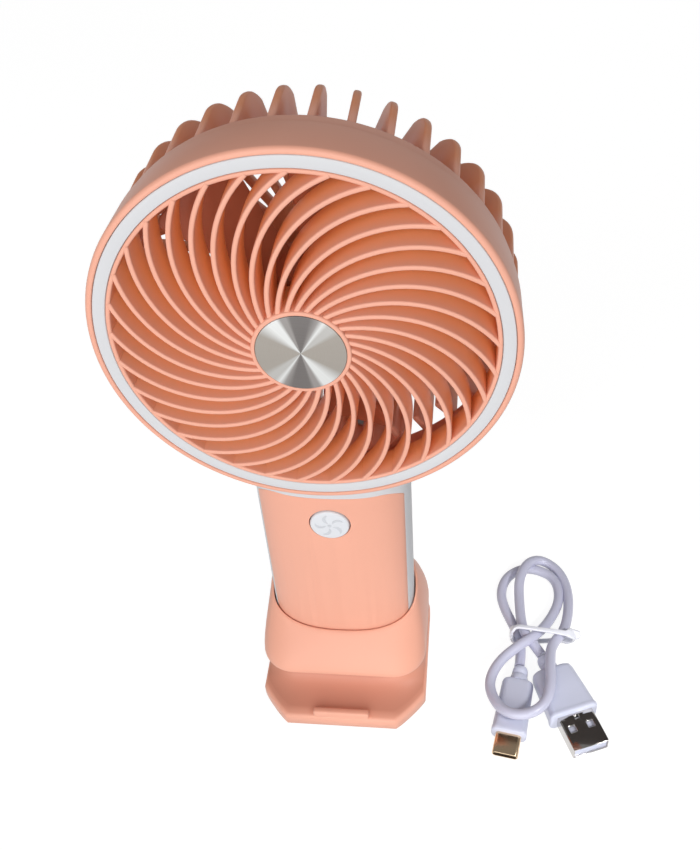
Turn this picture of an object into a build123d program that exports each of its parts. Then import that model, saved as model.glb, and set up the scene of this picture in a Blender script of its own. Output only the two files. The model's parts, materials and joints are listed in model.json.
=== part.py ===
from build123d import *
import math
import os

# Handheld fan in its stand, with its charging lead beside it.
# The origin is on the table under the handle's axis: +Z is up and the fan blows towards -Y.
# All lengths are millimetres and all angles are degrees.

# ---- head: distances from the head's axis, and places along Y (front is negative) ----
HEAD_Z = 155.0
RIM_R = 52.0
RIM_FRONT = -22.1
RIM_EDGE = 0.8
BEZEL_REAR = -9.6
BEZEL_REAR_R = 51.5
BEZEL_BORE_R = 50.1
TRIM_OUTER_R = 50.3
TRIM_INNER_R = 47.0
TRIM_DEPTH = 1.8
TRIM_SHELF = 1.5
SEAM = 0.1

LIP_INNER_R = 46.0
LIP_FLANGE_R = 49.8
LIP_FLANGE = 1.2
GRILLE_REAR = -13.5
HUB_RING_R = 12.0
HUB_FRONT = -24.4
HUB_BORE_R = 10.6
BADGE_R = 10.9
BADGE_THICK = 0.8
BADGE_SEAT = -23.7

VANES = 33
VANE_THICK = 1.25
VANE_ARC_R = 30.1
VANE_ARC_OFFSET = 26.9
VANE_ARC_BEARING = 93.7
VANE_FROM_R = 11.5
VANE_TO_R = 46.4
DOME_HUB_Y = -24.0
DOME_MID_R, DOME_MID_Y = 31.0, -23.3
DOME_LIP_Y = -21.8

BAND_R = 50.9
BAND_REAR = -5.6
BAND_WALL = 1.6
SPIGOT_FRONT = -12.5
SPIGOT_WALL = 1.1
FINS = 36
FIN_THICK = 2.0
FIN_FIRST = 5.0
FIN_OUTER_R = 50.8
FIN_INNER_R = 43.7
FIN_START = -7.0
FIN_BEND_Y = 5.5
GUSSET_R, GUSSET_Y = 35.0, 4.0
GUSSET_MID = (41.2, 9.8)
REAR_Y = 17.0
REAR_THICK = 2.8
RIB_TURN_R = 44.8
PLATE_R = 18.0
BOSS_R = 6.2
SADDLE_INNER_R = 47.5
SADDLE_OUTER_R = 52.2

# ---- motor and impeller ----
SHAFT_R = 1.0
SHAFT_FRONT, SHAFT_REAR = -9.5, 12.0
BEARING_R = 2.6
BEARING_LONG = 2.5
BEARING_AT = (-5.0, 8.0)
RUNNING_GAP = 0.02
TUBE_R = 3.6
TUBE_FRONT = -5.5
CUP_R = 12.4
CUP_WALL = 0.5
CUP_FRONT, CUP_REAR = -8.5, 3.0
CUP_BOSS_R = 2.5
CUP_BOSS_REAR = -6.2
MAGNET_INNER_R = 10.75
MAGNET_FRONT, MAGNET_REAR = -6.0, 2.5
STATOR_TEETH = 9
STATOR_R = 10.3
STATOR_CORE_R = 5.6
STATOR_FRONT, STATOR_REAR = -4.0, 2.0
TOOTH_WIDE = 1.6
SHOE_THICK = 0.9
SHOE_SPAN = 30.0
COIL_FROM_R, COIL_TO_R = 5.9, 9.2
COIL_BUILD = 0.55
MOTOR_BOARD_R = 11.0
MOTOR_BOARD_Y = 4.6
BOARD_THICK = 1.0
MOTOR_SCREWS = 3
MOTOR_SCREW_AT_R = 8.6
HUB_R = 13.6
HUB_NOSE_Y = -11.5
HUB_TAIL_Y = 3.5
BLADES = 7
BLADE_THICK = 1.3
BLADE_TIP_R = 42.0
BLADE_MID_Y = -3.0
BLADE_ROOT = (11.5, 50.0)
BLADE_TIP = (25.0, 27.0)
BLADE_CORNER = 4.0

# ---- handle: half sizes of its rounded section, and heights ----
HANDLE_A, HANDLE_B = 23.0, 13.0
SECTION_POWER = 2.5
HANDLE_FOOT = 5.0
HANDLE_FLOOR = 7.0
PANEL_WALL = 2.0
LINER = 1.2
PANEL_EDGE_Y = 6.2
PANEL_HALF = 22.6
PANEL_TOP = 92.3
PANEL_CORNER = 8.0
REAR_PANEL_TOP = 96.0
CAVITY_TOP = 99.0
WINDOW_HALF = 16.0
WINDOW_LOW, WINDOW_HIGH = 12.0, 91.0
CHANNEL_R = 2.6
CHANNEL_Y = 6.5
HANDLE_SCREW_X, HANDLE_SCREW_Z = 13.0, 22.0
HANDLE_SCREW_TIP, HANDLE_SCREW_SEAT = 3.2, 9.6
HANDLE_BOSS_R = 2.2
NECK_SCREW_X, NECK_SCREW_Y = 10.0, 2.0
NECK_TOP_Z = 115.0

BUTTON_Z = 81.4
BUTTON_R = 5.8
BUTTON_HOLE_R = 6.1
BUTTON_FRONT = -13.5
BUTTON_EDGE = 0.7
BUTTON_FLANGE_R = 6.8
BUTTON_FLANGE_Y = -10.5
BUTTON_FLANGE = 0.8
BUTTON_STEM_R = 1.5
BUTTON_STEM_Y = -8.9
SWITCH_PLUNGER_Y = -8.35
SWITCH_FRONT = -7.4
SWITCH_SIDE = 6.0
CONTROL_BOARD_Y = -4.0
CONTROL_BOARD_HALF = 14.0
CONTROL_BOARD_LOW, CONTROL_BOARD_HIGH = 77.5, 97.0
CHARGE_BOARD_Z = 86.0
CHARGE_BOARD_HALF = 8.0
CHARGE_BOARD_FRONT, CHARGE_BOARD_REAR = -2.4, 8.6
SOCKET_WIDE, SOCKET_HIGH = 8.94, 3.26
SOCKET_WALL = 0.3
SOCKET_FRONT, SOCKET_MOUTH = 4.3, 11.6
PORT_GAP = 0.2
TONGUE = (6.6, 0.7, 5.6)

BATTERY_R = 9.1
BATTERY_LONG = 65.0
TAB = 0.3
TAB_R = 5.0
TAB_REACH = 14.0
WIRE_R = 0.65
LONG_LEAD_X, SHORT_LEAD_X = -12.5, 2.0

# ---- stand: half widths and front and rear faces at each height ----
# REST gives each height's front face, and how far its corners have turned from the brow's to the ledge's.
BASE_LOW = 0.4
LEDGE_Z = 5.6
LEDGE_HALF = 27.2
LEDGE_FRONT = -30.6
LEDGE_CHAMFER = (9.0, 10.9)
LEDGE_REAR = 24.0
LEDGE_REAR_CORNER = 9.0
LEDGE_EDGE = 0.9
BROW_Z = 17.0
BROW = (27.0, -21.5, 22.5, 11.0)
REST = (
    (5.55, -29.6, 1.0),
    (5.8, -25.2, 0.75),
    (6.4, -21.2, 0.5),
    (7.6, -18.0, 0.3),
    (9.5, -16.2, 0.15),
    (12.0, -16.0, 0.05),
    (14.5, -17.2, 0.0),
    (16.2, -19.3, 0.0),
    (BROW_Z, -21.5, 0.0),
)
SHOULDERS = (
    (BROW_Z, *BROW),
    (24.0, 26.3, -18.5, 21.2, 12.0),
    (30.0, 24.9, -15.8, 18.8, 12.2),
    (37.0, 24.2, -14.4, 15.6, 12.4),
    (46.0, 24.0, -14.1, 14.3, 12.6),
)
COLLAR_FRONT_Z = 30.6
COLLAR_SLOPE = 27.0
LIP_HALF = 9.25
LIP_FRONT, LIP_REAR = -30.3, -27.9
LIP_TOP = 7.7
LIP_EDGE = 0.8
SOCKET_GAP = 0.35
WELL_WALL = 2.4
CAVITY_Z = 14.0
CAVITY = (24.3, -19.5, 20.5, 8.0)
PLATE_LOW, PLATE_HIGH = 0.8, 2.6
PAD = (18.0, -15.0, 17.0, 5.0)
STAND_SCREW_X = 20.8
STAND_SCREW_Y = (-12.6, 16.6)

# ---- screws: head radius, head height, shank radius ----
SCREW_HEAD_R, SCREW_HEAD, SCREW_SHANK_R = 1.7, 1.1, 0.9

# ---- charging lead on the table ----
A_TIP = (80.5, -35.6)
A_HEADING = -67.4
A_SHELL = (12.0, 4.5, 12.4)
A_GRIP = (16.5, 13.8, 8.0, 18.0)
A_RELIEF = 6.0
C_TIP = (53.3, -39.2)
C_HEADING = -99.8
C_SHELL = (8.3, 2.5, 7.4)
C_GRIP = (11.4, 10.4, 6.5, 20.5)
C_RELIEF = 5.5
HANK_UPPER_Z = 7.2
HANK_LOWER_Z = 11.6
TIE_Y = (4.6, 7.8)
TIE_X = (54.6, 78.4)
TIE_Z = 9.4
TIE_THICK = 1.0

HEAD_AXIS = Axis((0, 0, HEAD_Z), (0, 1, 0))


def face_plane(y):
    """The plane across the head's axis at y, seen from the front: local x is X and local y is Z."""
    return Plane(origin=(0, y, HEAD_Z), x_dir=(1, 0, 0), z_dir=(0, -1, 0))


def slab(sketch, front, rear):
    """A sketch drawn about the head's axis, as thick as from front to rear."""
    return extrude(face_plane(rear) * sketch, amount=rear - front)


def disc(radius, front, rear):
    return slab(Circle(radius), front, rear)


def ring(outer, inner, front, rear):
    return slab(Circle(outer) - Circle(inner), front, rear)


def turned(*edges):
    """A solid of revolution about the head's axis, from edges given as (radius, y)."""
    profile = make_face(Curve() + list(edges))
    return revolve(Location((0, 0, HEAD_Z)) * profile, HEAD_AXIS, 360)


def turned_polygon(*points):
    return turned(*Polyline(*points, close=True).edges())


def bearing_point(radius, bearing):
    """A point about the head's axis: the bearing is clockwise from straight up, seen from the front."""
    angle = math.radians(bearing)
    return (radius * math.sin(angle), radius * math.cos(angle))


def around_head(piece, count, first=0.0):
    """Copies of a piece spaced evenly about the head's axis."""
    return [piece.rotate(HEAD_AXIS, first + 360.0 * i / count) for i in range(count)]


def box(low, high):
    size = [b - a for a, b in zip(low, high)]
    middle = [(a + b) / 2 for a, b in zip(low, high)]
    return Location(middle) * Box(*size)


def post(x, y, low, high, radius):
    return Location((x, y, (low + high) / 2)) * Cylinder(radius, high - low)


def bar_y(x, z, front, rear, radius):
    """A round bar along Y."""
    plane = Plane(origin=(x, front, z), x_dir=(1, 0, 0), z_dir=(0, 1, 0))
    return extrude(plane * Circle(radius), amount=rear - front)


# ---------------------------------------------------------------- head


def front_bezel():
    shelf = RIM_FRONT + TRIM_DEPTH
    under = shelf + TRIM_SHELF
    return turned_polygon(
        (RIM_R, RIM_FRONT + RIM_EDGE),
        (RIM_R - RIM_EDGE, RIM_FRONT),
        (TRIM_OUTER_R, RIM_FRONT),
        (TRIM_OUTER_R, shelf),
        (TRIM_INNER_R, shelf),
        (TRIM_INNER_R, under),
        (BEZEL_BORE_R, under),
        (BEZEL_BORE_R, BEZEL_REAR),
        (BEZEL_REAR_R, BEZEL_REAR),
    )


def trim_ring():
    front = RIM_FRONT + SEAM
    return ring(TRIM_OUTER_R - SEAM, TRIM_INNER_R + SEAM, front, RIM_FRONT + TRIM_DEPTH)


def vane_face():
    """One vane's plan: a strip along a circular arc that runs out from the hub and bends clockwise."""
    centre = bearing_point(VANE_ARC_OFFSET, VANE_ARC_BEARING)
    towards = 90.0 - VANE_ARC_BEARING

    def arc_angle(reach):
        squares = reach**2 - VANE_ARC_OFFSET**2 - VANE_ARC_R**2
        return towards + math.degrees(math.acos(squares / (2 * VANE_ARC_OFFSET * VANE_ARC_R)))

    start, stop = arc_angle(VANE_FROM_R), arc_angle(VANE_TO_R)
    inner, outer = VANE_ARC_R - VANE_THICK / 2, VANE_ARC_R + VANE_THICK / 2
    near = CenterArc(centre, inner, start, stop - start)
    far = CenterArc(centre, outer, start, stop - start)
    ends = [Line(near @ 0, far @ 0), Line(near @ 1, far @ 1)]
    return make_face(Curve() + [near, far] + ends)


def grille_envelope():
    """The space the vanes fill: a shallow dome in front and a flat plane behind."""
    hub, lip = (0, DOME_HUB_Y), (LIP_FLANGE_R, DOME_LIP_Y)
    return turned(
        Line((0, GRILLE_REAR), hub),
        Line(hub, (VANE_FROM_R, DOME_HUB_Y)),
        ThreePointArc((VANE_FROM_R, DOME_HUB_Y), (DOME_MID_R, DOME_MID_Y), lip),
        Line(lip, (LIP_FLANGE_R, GRILLE_REAR)),
        Line((LIP_FLANGE_R, GRILLE_REAR), (0, GRILLE_REAR)),
    )


def front_grille():
    shelf = RIM_FRONT + TRIM_DEPTH + TRIM_SHELF
    wall = TRIM_INNER_R - SEAM / 2
    lip = turned_polygon(
        (LIP_INNER_R, RIM_FRONT + SEAM),
        (wall, RIM_FRONT + SEAM),
        (wall, shelf),
        (LIP_FLANGE_R, shelf),
        (LIP_FLANGE_R, shelf + LIP_FLANGE),
        (wall, shelf + LIP_FLANGE),
        (wall, GRILLE_REAR),
        (LIP_INNER_R, GRILLE_REAR),
    )
    hub = turned_polygon(
        (0, BADGE_SEAT),
        (BADGE_R + SEAM, BADGE_SEAT),
        (BADGE_R + SEAM, HUB_FRONT),
        (HUB_RING_R - SEAM * 3, HUB_FRONT),
        (HUB_RING_R, HUB_FRONT + SEAM * 3),
        (HUB_RING_R, GRILLE_REAR),
        (HUB_BORE_R, GRILLE_REAR),
        (HUB_BORE_R, BADGE_SEAT + TRIM_DEPTH),
        (0, BADGE_SEAT + TRIM_DEPTH),
    )
    vane = slab(vane_face(), HUB_FRONT, GRILLE_REAR) & grille_envelope()
    return lip.fuse(hub, *around_head(vane, VANES))


def hub_badge():
    return disc(BADGE_R, BADGE_SEAT - BADGE_THICK, BADGE_SEAT)


def fin():
    """One fin: a deep plate along the head's side that bends round, with a gusset, into a rear rib."""
    rear_inner = REAR_Y - REAR_THICK
    points = (
        (FIN_INNER_R, FIN_START),
        (FIN_OUTER_R, FIN_START),
        (FIN_OUTER_R, FIN_BEND_Y),
        (RIB_TURN_R, REAR_Y),
        (PLATE_R - 1, REAR_Y),
        (PLATE_R - 1, rear_inner),
        (GUSSET_R, rear_inner),
        (FIN_INNER_R, GUSSET_Y),
    )
    bends = {2: (FIN_OUTER_R - 1.6, REAR_Y - 4.7), 6: GUSSET_MID}
    edges = []
    for i, start in enumerate(points):
        stop = points[(i + 1) % len(points)]
        edges.append(ThreePointArc(start, bends[i], stop) if i in bends else Line(start, stop))
    profile = Location((0, 0, HEAD_Z)) * make_face(Curve() + edges)
    return extrude(profile, amount=FIN_THICK / 2, both=True)


def saddle():
    """The neck: the handle's outline carried up to the head's band."""
    column = extrude(Plane.XY.offset(CAVITY_TOP) * section(HANDLE_A, HANDLE_B), amount=15)
    return column & ring(SADDLE_OUTER_R, SADDLE_INNER_R, BEZEL_REAR + SEAM, REAR_Y)


def neck_bores(radius, low, high):
    return [post(x, NECK_SCREW_Y, low, high, radius) for x in (-NECK_SCREW_X, NECK_SCREW_X)]


def neck_seat():
    """Height of the neck screws' heads."""
    return HEAD_Z - SADDLE_INNER_R + 0.6


def rear_shell():
    band = ring(BAND_R, BAND_R - BAND_WALL, BEZEL_REAR, BAND_REAR)
    spigot_r = BEZEL_BORE_R - SEAM / 2
    spigot = ring(spigot_r, spigot_r - SPIGOT_WALL, SPIGOT_FRONT, BEZEL_REAR + 1)
    plate = disc(PLATE_R, REAR_Y - REAR_THICK, REAR_Y)
    boss = disc(BOSS_R, MOTOR_BOARD_Y + BOARD_THICK + 0.4, REAR_Y - REAR_THICK)
    posts = motor_posts(SCREW_SHANK_R + 1.0, MOTOR_BOARD_Y + BOARD_THICK, REAR_Y - REAR_THICK)
    shell = band.fuse(spigot, plate, boss, *posts, saddle(), *around_head(fin(), FINS, FIN_FIRST))
    shell = shell - disc(TUBE_R, MOTOR_BOARD_Y, REAR_Y - REAR_THICK)
    shell = shell.cut(*motor_posts(SCREW_SHANK_R, MOTOR_BOARD_Y, MOTOR_BOARD_Y + 5.5))
    shell = shell.cut(*neck_bores(SCREW_SHANK_R, CAVITY_TOP - 2, NECK_TOP_Z))
    shell = shell.cut(*neck_bores(SCREW_HEAD_R + SEAM, neck_seat(), NECK_TOP_Z))
    return shell - post(0, CHANNEL_Y, CAVITY_TOP - 2, NECK_TOP_Z, CHANNEL_R)


# ---------------------------------------------------------------- motor and impeller


def motor_posts(radius, front, rear):
    points = [bearing_point(MOTOR_SCREW_AT_R, 360.0 * i / MOTOR_SCREWS) for i in range(MOTOR_SCREWS)]
    return [bar_y(x, HEAD_Z + z, front, rear, radius) for x, z in points]


def bearing_tube():
    return ring(TUBE_R, BEARING_R, TUBE_FRONT, REAR_Y - REAR_THICK)


def motor_bearings():
    bore = SHAFT_R + RUNNING_GAP
    return Compound([ring(BEARING_R, bore, y, y + BEARING_LONG) for y in BEARING_AT])


def stator_tooth(wide, inner, outer):
    strip = Location((0, (inner + outer) / 2)) * Rectangle(wide, outer - inner)
    return slab(strip, STATOR_FRONT, STATOR_REAR)


def stator_core():
    shoe = ring(STATOR_R, STATOR_R - SHOE_THICK, STATOR_FRONT, STATOR_REAR)
    half = math.tan(math.radians(SHOE_SPAN / 2)) * STATOR_R
    triangle = Polygon((0, 0), (-half, STATOR_R), (half, STATOR_R), align=None)
    wedge = slab(triangle, STATOR_FRONT, STATOR_REAR)
    tooth = stator_tooth(TOOTH_WIDE, STATOR_CORE_R - 0.4, STATOR_R - 0.3).fuse(shoe & wedge)
    core = ring(STATOR_CORE_R, TUBE_R, STATOR_FRONT, STATOR_REAR)
    return core.fuse(*around_head(tooth, STATOR_TEETH))


def stator_windings():
    wide = TOOTH_WIDE + 2 * COIL_BUILD
    outline = Location((0, (COIL_FROM_R + COIL_TO_R) / 2)) * Rectangle(wide, COIL_TO_R - COIL_FROM_R)
    coil = slab(outline, STATOR_FRONT - COIL_BUILD, STATOR_REAR + COIL_BUILD)
    coil = coil - stator_tooth(TOOTH_WIDE, COIL_FROM_R - 1, COIL_TO_R + 1)
    return Compound(around_head(coil, STATOR_TEETH))


def motor_board():
    board = ring(MOTOR_BOARD_R, TUBE_R, MOTOR_BOARD_Y, MOTOR_BOARD_Y + BOARD_THICK)
    return board.cut(*motor_posts(SCREW_SHANK_R, MOTOR_BOARD_Y, MOTOR_BOARD_Y + BOARD_THICK))


def motor_screws():
    heads = motor_posts(SCREW_HEAD_R - 0.3, MOTOR_BOARD_Y - 0.9, MOTOR_BOARD_Y)
    shanks = motor_posts(SCREW_SHANK_R, MOTOR_BOARD_Y, MOTOR_BOARD_Y + 5.0)
    return Compound([head.fuse(shank) for head, shank in zip(heads, shanks)])


def motor_shaft():
    return disc(SHAFT_R, SHAFT_FRONT, SHAFT_REAR)


def rotor_cup():
    return turned_polygon(
        (SHAFT_R, CUP_FRONT),
        (CUP_R, CUP_FRONT),
        (CUP_R, CUP_REAR),
        (CUP_R - CUP_WALL, CUP_REAR),
        (CUP_R - CUP_WALL, CUP_FRONT + CUP_WALL),
        (CUP_BOSS_R, CUP_FRONT + CUP_WALL),
        (CUP_BOSS_R, CUP_BOSS_REAR),
        (SHAFT_R, CUP_BOSS_REAR),
    )


def rotor_magnet():
    return ring(CUP_R - CUP_WALL, MAGNET_INNER_R, MAGNET_FRONT, MAGNET_REAR)


def blade_section(reach, chord, pitch):
    """A blade's section at one distance from the axis, drawn square to the radius."""
    plane = Plane(origin=(0, BLADE_MID_Y, HEAD_Z + reach), x_dir=(1, 0, 0), z_dir=(0, 0, 1))
    return plane * Location((0, 0, 0), (0, 0, pitch)) * Rectangle(chord, BLADE_THICK)


def blade():
    """A twisted blade, cut to the tip circle, with rounded tip corners."""
    root = blade_section(HUB_R - 1.0, *BLADE_ROOT)
    tip = blade_section(BLADE_TIP_R + 3.0, *BLADE_TIP)
    rough = loft([root, tip], ruled=True)
    rough = rough & ring(BLADE_TIP_R, HUB_R - 0.7, HUB_NOSE_Y, HUB_TAIL_Y)
    corners = [e for e in rough.edges() if e.length < 3.0 and e.center().Z > HEAD_Z + HUB_R * 2]
    return fillet(corners, BLADE_CORNER)


def impeller():
    hub = turned_polygon(
        (0, HUB_NOSE_Y),
        (HUB_R - 1.5, HUB_NOSE_Y),
        (HUB_R, HUB_NOSE_Y + 1.5),
        (HUB_R, HUB_TAIL_Y),
        (CUP_R, HUB_TAIL_Y),
        (CUP_R, CUP_FRONT),
        (SHAFT_R, CUP_FRONT),
        (SHAFT_R, SHAFT_FRONT),
        (0, SHAFT_FRONT),
    )
    return hub.fuse(*around_head(blade(), BLADES, 12.0))


# ---------------------------------------------------------------- handle


def section(a, b):
    """The handle's outline: an oval squared off a little, from its half width and half depth."""
    steps = 32
    points = []
    for i in range(steps):
        angle = 2 * math.pi * (i + 0.5) / steps
        c, s = math.cos(angle), math.sin(angle)
        power = 2 / SECTION_POWER
        points.append((a * math.copysign(abs(c) ** power, c), b * math.copysign(abs(s) ** power, s)))
    return make_face(Spline(*points, periodic=True))


def column(inset, low, high):
    outline = section(HANDLE_A - inset, HANDLE_B - inset)
    return extrude(Plane.XY.offset(low) * outline, amount=high - low)


def panel_outline(grow, top, side):
    """The space of a panel: square at the foot, round at its two top corners."""
    half = PANEL_HALF + grow
    high = top + grow
    plate = Rectangle(2 * half, high - HANDLE_FOOT, align=(Align.CENTER, Align.MIN))
    corners = plate.vertices().sort_by(Axis.Y)[-2:]
    plate = fillet(corners, PANEL_CORNER)
    plane = Plane(origin=(0, side * (PANEL_EDGE_Y - grow), HANDLE_FOOT), x_dir=(1, 0, 0), z_dir=(0, -1, 0))
    return extrude(plane * plate, amount=-side * (HANDLE_B + 2))


def panel_skin(grow, top, side):
    wall = column(0, HANDLE_FOOT, top + 1) - column(PANEL_WALL, HANDLE_FOOT - 1, top + 2)
    return wall & panel_outline(grow, top, side)


def button_hole(radius):
    return bar_y(0, BUTTON_Z, -HANDLE_B - 2, -HANDLE_B + 4, radius)


def port(wide, high, front, rear):
    """A slot with round ends along Y, at the charge socket's height."""
    plane = Plane(origin=(0, rear, socket_z()), x_dir=(1, 0, 0), z_dir=(0, -1, 0))
    return extrude(plane * SlotOverall(wide, high), amount=rear - front)


def socket_z():
    return CHARGE_BOARD_Z + BOARD_THICK + SOCKET_HIGH / 2


def handle_front_panel():
    return panel_skin(0, PANEL_TOP, -1) - button_hole(BUTTON_HOLE_R)


def handle_screw_bars(radius, front, rear):
    return [bar_y(x, HANDLE_SCREW_Z, front, rear, radius) for x in (-HANDLE_SCREW_X, HANDLE_SCREW_X)]


def handle_rear_panel():
    skin = panel_skin(0, REAR_PANEL_TOP, 1)
    skin = skin - port(SOCKET_WIDE + 2 * PORT_GAP, SOCKET_HIGH + 2 * PORT_GAP, 8, 15)
    skin = skin.cut(*handle_screw_bars(SCREW_SHANK_R, HANDLE_SCREW_TIP, HANDLE_B + 2))
    return skin.cut(*handle_screw_bars(SCREW_HEAD_R + SEAM, HANDLE_SCREW_SEAT, HANDLE_B + 2))


def handle_frame():
    outer = column(0, HANDLE_FOOT, NECK_TOP_Z)
    frame = outer - column(PANEL_WALL + LINER, HANDLE_FLOOR, CAVITY_TOP)
    frame = frame - panel_skin(SEAM, PANEL_TOP, -1) - panel_skin(SEAM, REAR_PANEL_TOP, 1)
    window = box((-WINDOW_HALF, -HANDLE_B, WINDOW_LOW), (WINDOW_HALF, -6.5, WINDOW_HIGH))
    frame = frame - window - disc(SADDLE_OUTER_R, -20, 20)
    frame = frame - port(SOCKET_WIDE + 2 * PORT_GAP, SOCKET_HIGH + 2 * PORT_GAP, 6, 15)
    inside = column(PANEL_WALL, HANDLE_FOOT, CAVITY_TOP)
    bosses = handle_screw_bars(HANDLE_BOSS_R, HANDLE_SCREW_TIP, HANDLE_B)
    frame = frame.fuse(*[boss & inside for boss in bosses])
    frame = frame.cut(*handle_screw_bars(SCREW_SHANK_R, 0, HANDLE_B))
    frame = frame.cut(*handle_screw_bars(SCREW_HEAD_R + SEAM, HANDLE_SCREW_SEAT, HANDLE_B))
    frame = frame.cut(*neck_bores(SCREW_SHANK_R, CAVITY_TOP - 1, NECK_TOP_Z))
    return frame - post(0, CHANNEL_Y, CAVITY_TOP - 1, NECK_TOP_Z, CHANNEL_R)


def handle_screws():
    heads = handle_screw_bars(SCREW_HEAD_R, HANDLE_SCREW_SEAT, HANDLE_SCREW_SEAT + SCREW_HEAD)
    shanks = handle_screw_bars(SCREW_SHANK_R, HANDLE_SCREW_TIP, HANDLE_SCREW_SEAT)
    return Compound([head.fuse(shank) for head, shank in zip(heads, shanks)])


def neck_screws():
    seat = neck_seat()
    heads = neck_bores(SCREW_HEAD_R, seat, seat + SCREW_HEAD)
    shanks = neck_bores(SCREW_SHANK_R, CAVITY_TOP + 0.4, seat)
    return Compound([head.fuse(shank) for head, shank in zip(heads, shanks)])


def power_button():
    cap = bar_y(0, BUTTON_Z, BUTTON_FRONT, BUTTON_FLANGE_Y, BUTTON_R)
    cap = fillet(cap.edges().group_by(Axis.Y)[0], BUTTON_EDGE)
    flange = bar_y(0, BUTTON_Z, BUTTON_FLANGE_Y, BUTTON_FLANGE_Y + BUTTON_FLANGE, BUTTON_FLANGE_R)
    stem = bar_y(0, BUTTON_Z, BUTTON_FLANGE_Y, BUTTON_STEM_Y, BUTTON_STEM_R)
    return cap.fuse(flange, stem)


def button_switch():
    half = SWITCH_SIDE / 2
    case = box((-half, SWITCH_FRONT, BUTTON_Z - half), (half, CONTROL_BOARD_Y, BUTTON_Z + half))
    return case.fuse(bar_y(0, BUTTON_Z, SWITCH_PLUNGER_Y, SWITCH_FRONT, BUTTON_STEM_R))


def control_board():
    low = (-CONTROL_BOARD_HALF, CONTROL_BOARD_Y, CONTROL_BOARD_LOW)
    return box(low, (CONTROL_BOARD_HALF, CONTROL_BOARD_Y + BOARD_THICK, CONTROL_BOARD_HIGH))


def charge_board():
    low = (-CHARGE_BOARD_HALF, CHARGE_BOARD_FRONT, CHARGE_BOARD_Z)
    return box(low, (CHARGE_BOARD_HALF, CHARGE_BOARD_REAR, CHARGE_BOARD_Z + BOARD_THICK))


def board_parts():
    """Two chips, a coil and a pair of capacitors on the control board."""
    face = CONTROL_BOARD_Y
    rear = face + BOARD_THICK
    chips = [
        box((5, face - 1.2, 84), (10, face, 89)),
        box((-11, face - 1.0, 79), (-7, face, 83)),
        box((-11, rear, 88.5), (-6, rear + 2.4, 93.5)),
    ]
    cans = [bar_y(x, 93.5, face - 2.2, face, 1.6) for x in (-6.0, 6.0)]
    return Compound(chips + cans)


def charge_socket():
    shell = port(SOCKET_WIDE, SOCKET_HIGH, SOCKET_FRONT, SOCKET_MOUTH)
    inner_wide, inner_high = SOCKET_WIDE - 2 * SOCKET_WALL, SOCKET_HIGH - 2 * SOCKET_WALL
    floor = SOCKET_FRONT + 2 * SOCKET_WALL
    hollow = port(inner_wide, inner_high, floor, SOCKET_MOUTH + 1)
    wide, high, long = TONGUE
    z = socket_z()
    tongue = box((-wide / 2, SOCKET_FRONT, z - high / 2), (wide / 2, floor + long, z + high / 2))
    return (shell - hollow).fuse(tongue)


def battery_cell():
    foot = HANDLE_FLOOR + TAB
    return post(0, 0, foot, foot + BATTERY_LONG, BATTERY_R)


def battery_tabs():
    low = post(0, 0, HANDLE_FLOOR, HANDLE_FLOOR + TAB, TAB_R)
    tongue = box((-TAB_REACH, -2, HANDLE_FLOOR), (0, 2, HANDLE_FLOOR + TAB))
    top = HANDLE_FLOOR + TAB + BATTERY_LONG
    return Compound([low.fuse(tongue), post(0, 0, top, top + TAB, TAB_R)])


def wire(radius, *route):
    """A round wire along straight runs joined by arcs of 1.5 mm."""
    path = FilletPolyline(*route, radius=1.5)
    start = Plane(origin=path @ 0, z_dir=path % 0)
    return sweep(start * Circle(radius), path=path)


def battery_leads():
    y = CONTROL_BOARD_Y + BOARD_THICK / 2
    top = HANDLE_FLOOR + BATTERY_LONG + 2 * TAB
    turn = top + 2.4
    foot = HANDLE_FLOOR + TAB
    leads = []
    for x, start in ((LONG_LEAD_X, foot), (SHORT_LEAD_X, top)):
        leads.append(wire(WIRE_R, (x, 0, start), (x, 0, turn), (x, y, turn), (x, y, CONTROL_BOARD_LOW)))
    return Compound(leads)


def motor_leads():
    """Two wires from the control board up the neck, behind the impeller, to the motor board."""
    rear = CONTROL_BOARD_Y + BOARD_THICK
    back = REAR_Y - REAR_THICK - 1.4
    leads = []
    for x in (-1.2, 1.2):
        leads.append(
            wire(
                WIRE_R,
                (x, rear, 94),
                (x, CHANNEL_Y, 94),
                (x, CHANNEL_Y, 112),
                (x, back, 116),
                (x, back, HEAD_Z - 9),
                (x, MOTOR_BOARD_Y + BOARD_THICK, HEAD_Z - 9),
            )
        )
    return Compound(leads)


# ---------------------------------------------------------------- stand


def ledge_outline():
    """The base seen from above: two cut front corners and two round rear corners."""
    cut_x, cut_y = LEDGE_CHAMFER
    side_y = LEDGE_FRONT + cut_y
    front_x = LEDGE_HALF - cut_x
    outline = Polyline(
        (-LEDGE_HALF, LEDGE_REAR),
        (-LEDGE_HALF, side_y),
        (-front_x, LEDGE_FRONT),
        (front_x, LEDGE_FRONT),
        (LEDGE_HALF, side_y),
        (LEDGE_HALF, LEDGE_REAR),
        close=True,
    )
    face = make_face(outline)
    rear = face.vertices().sort_by(Axis.Y)[-2:]
    face = fillet(rear, LEDGE_REAR_CORNER)
    front = face.vertices().sort_by(Axis.Y)[:4]
    return fillet(front, 1.6)


def stand_base():
    block = extrude(Plane.XY.offset(BASE_LOW) * ledge_outline(), amount=LEDGE_Z - BASE_LOW)
    return fillet(block.edges().group_by(Axis.Z)[-1], LEDGE_EDGE)


def rounded(half, front, rear, corner):
    """A rectangle with round corners, from its half width and its front and rear faces."""
    plate = Rectangle(2 * half, rear - front)
    plate = fillet(plate.vertices(), corner)
    return Location((0, (front + rear) / 2)) * plate


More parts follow.
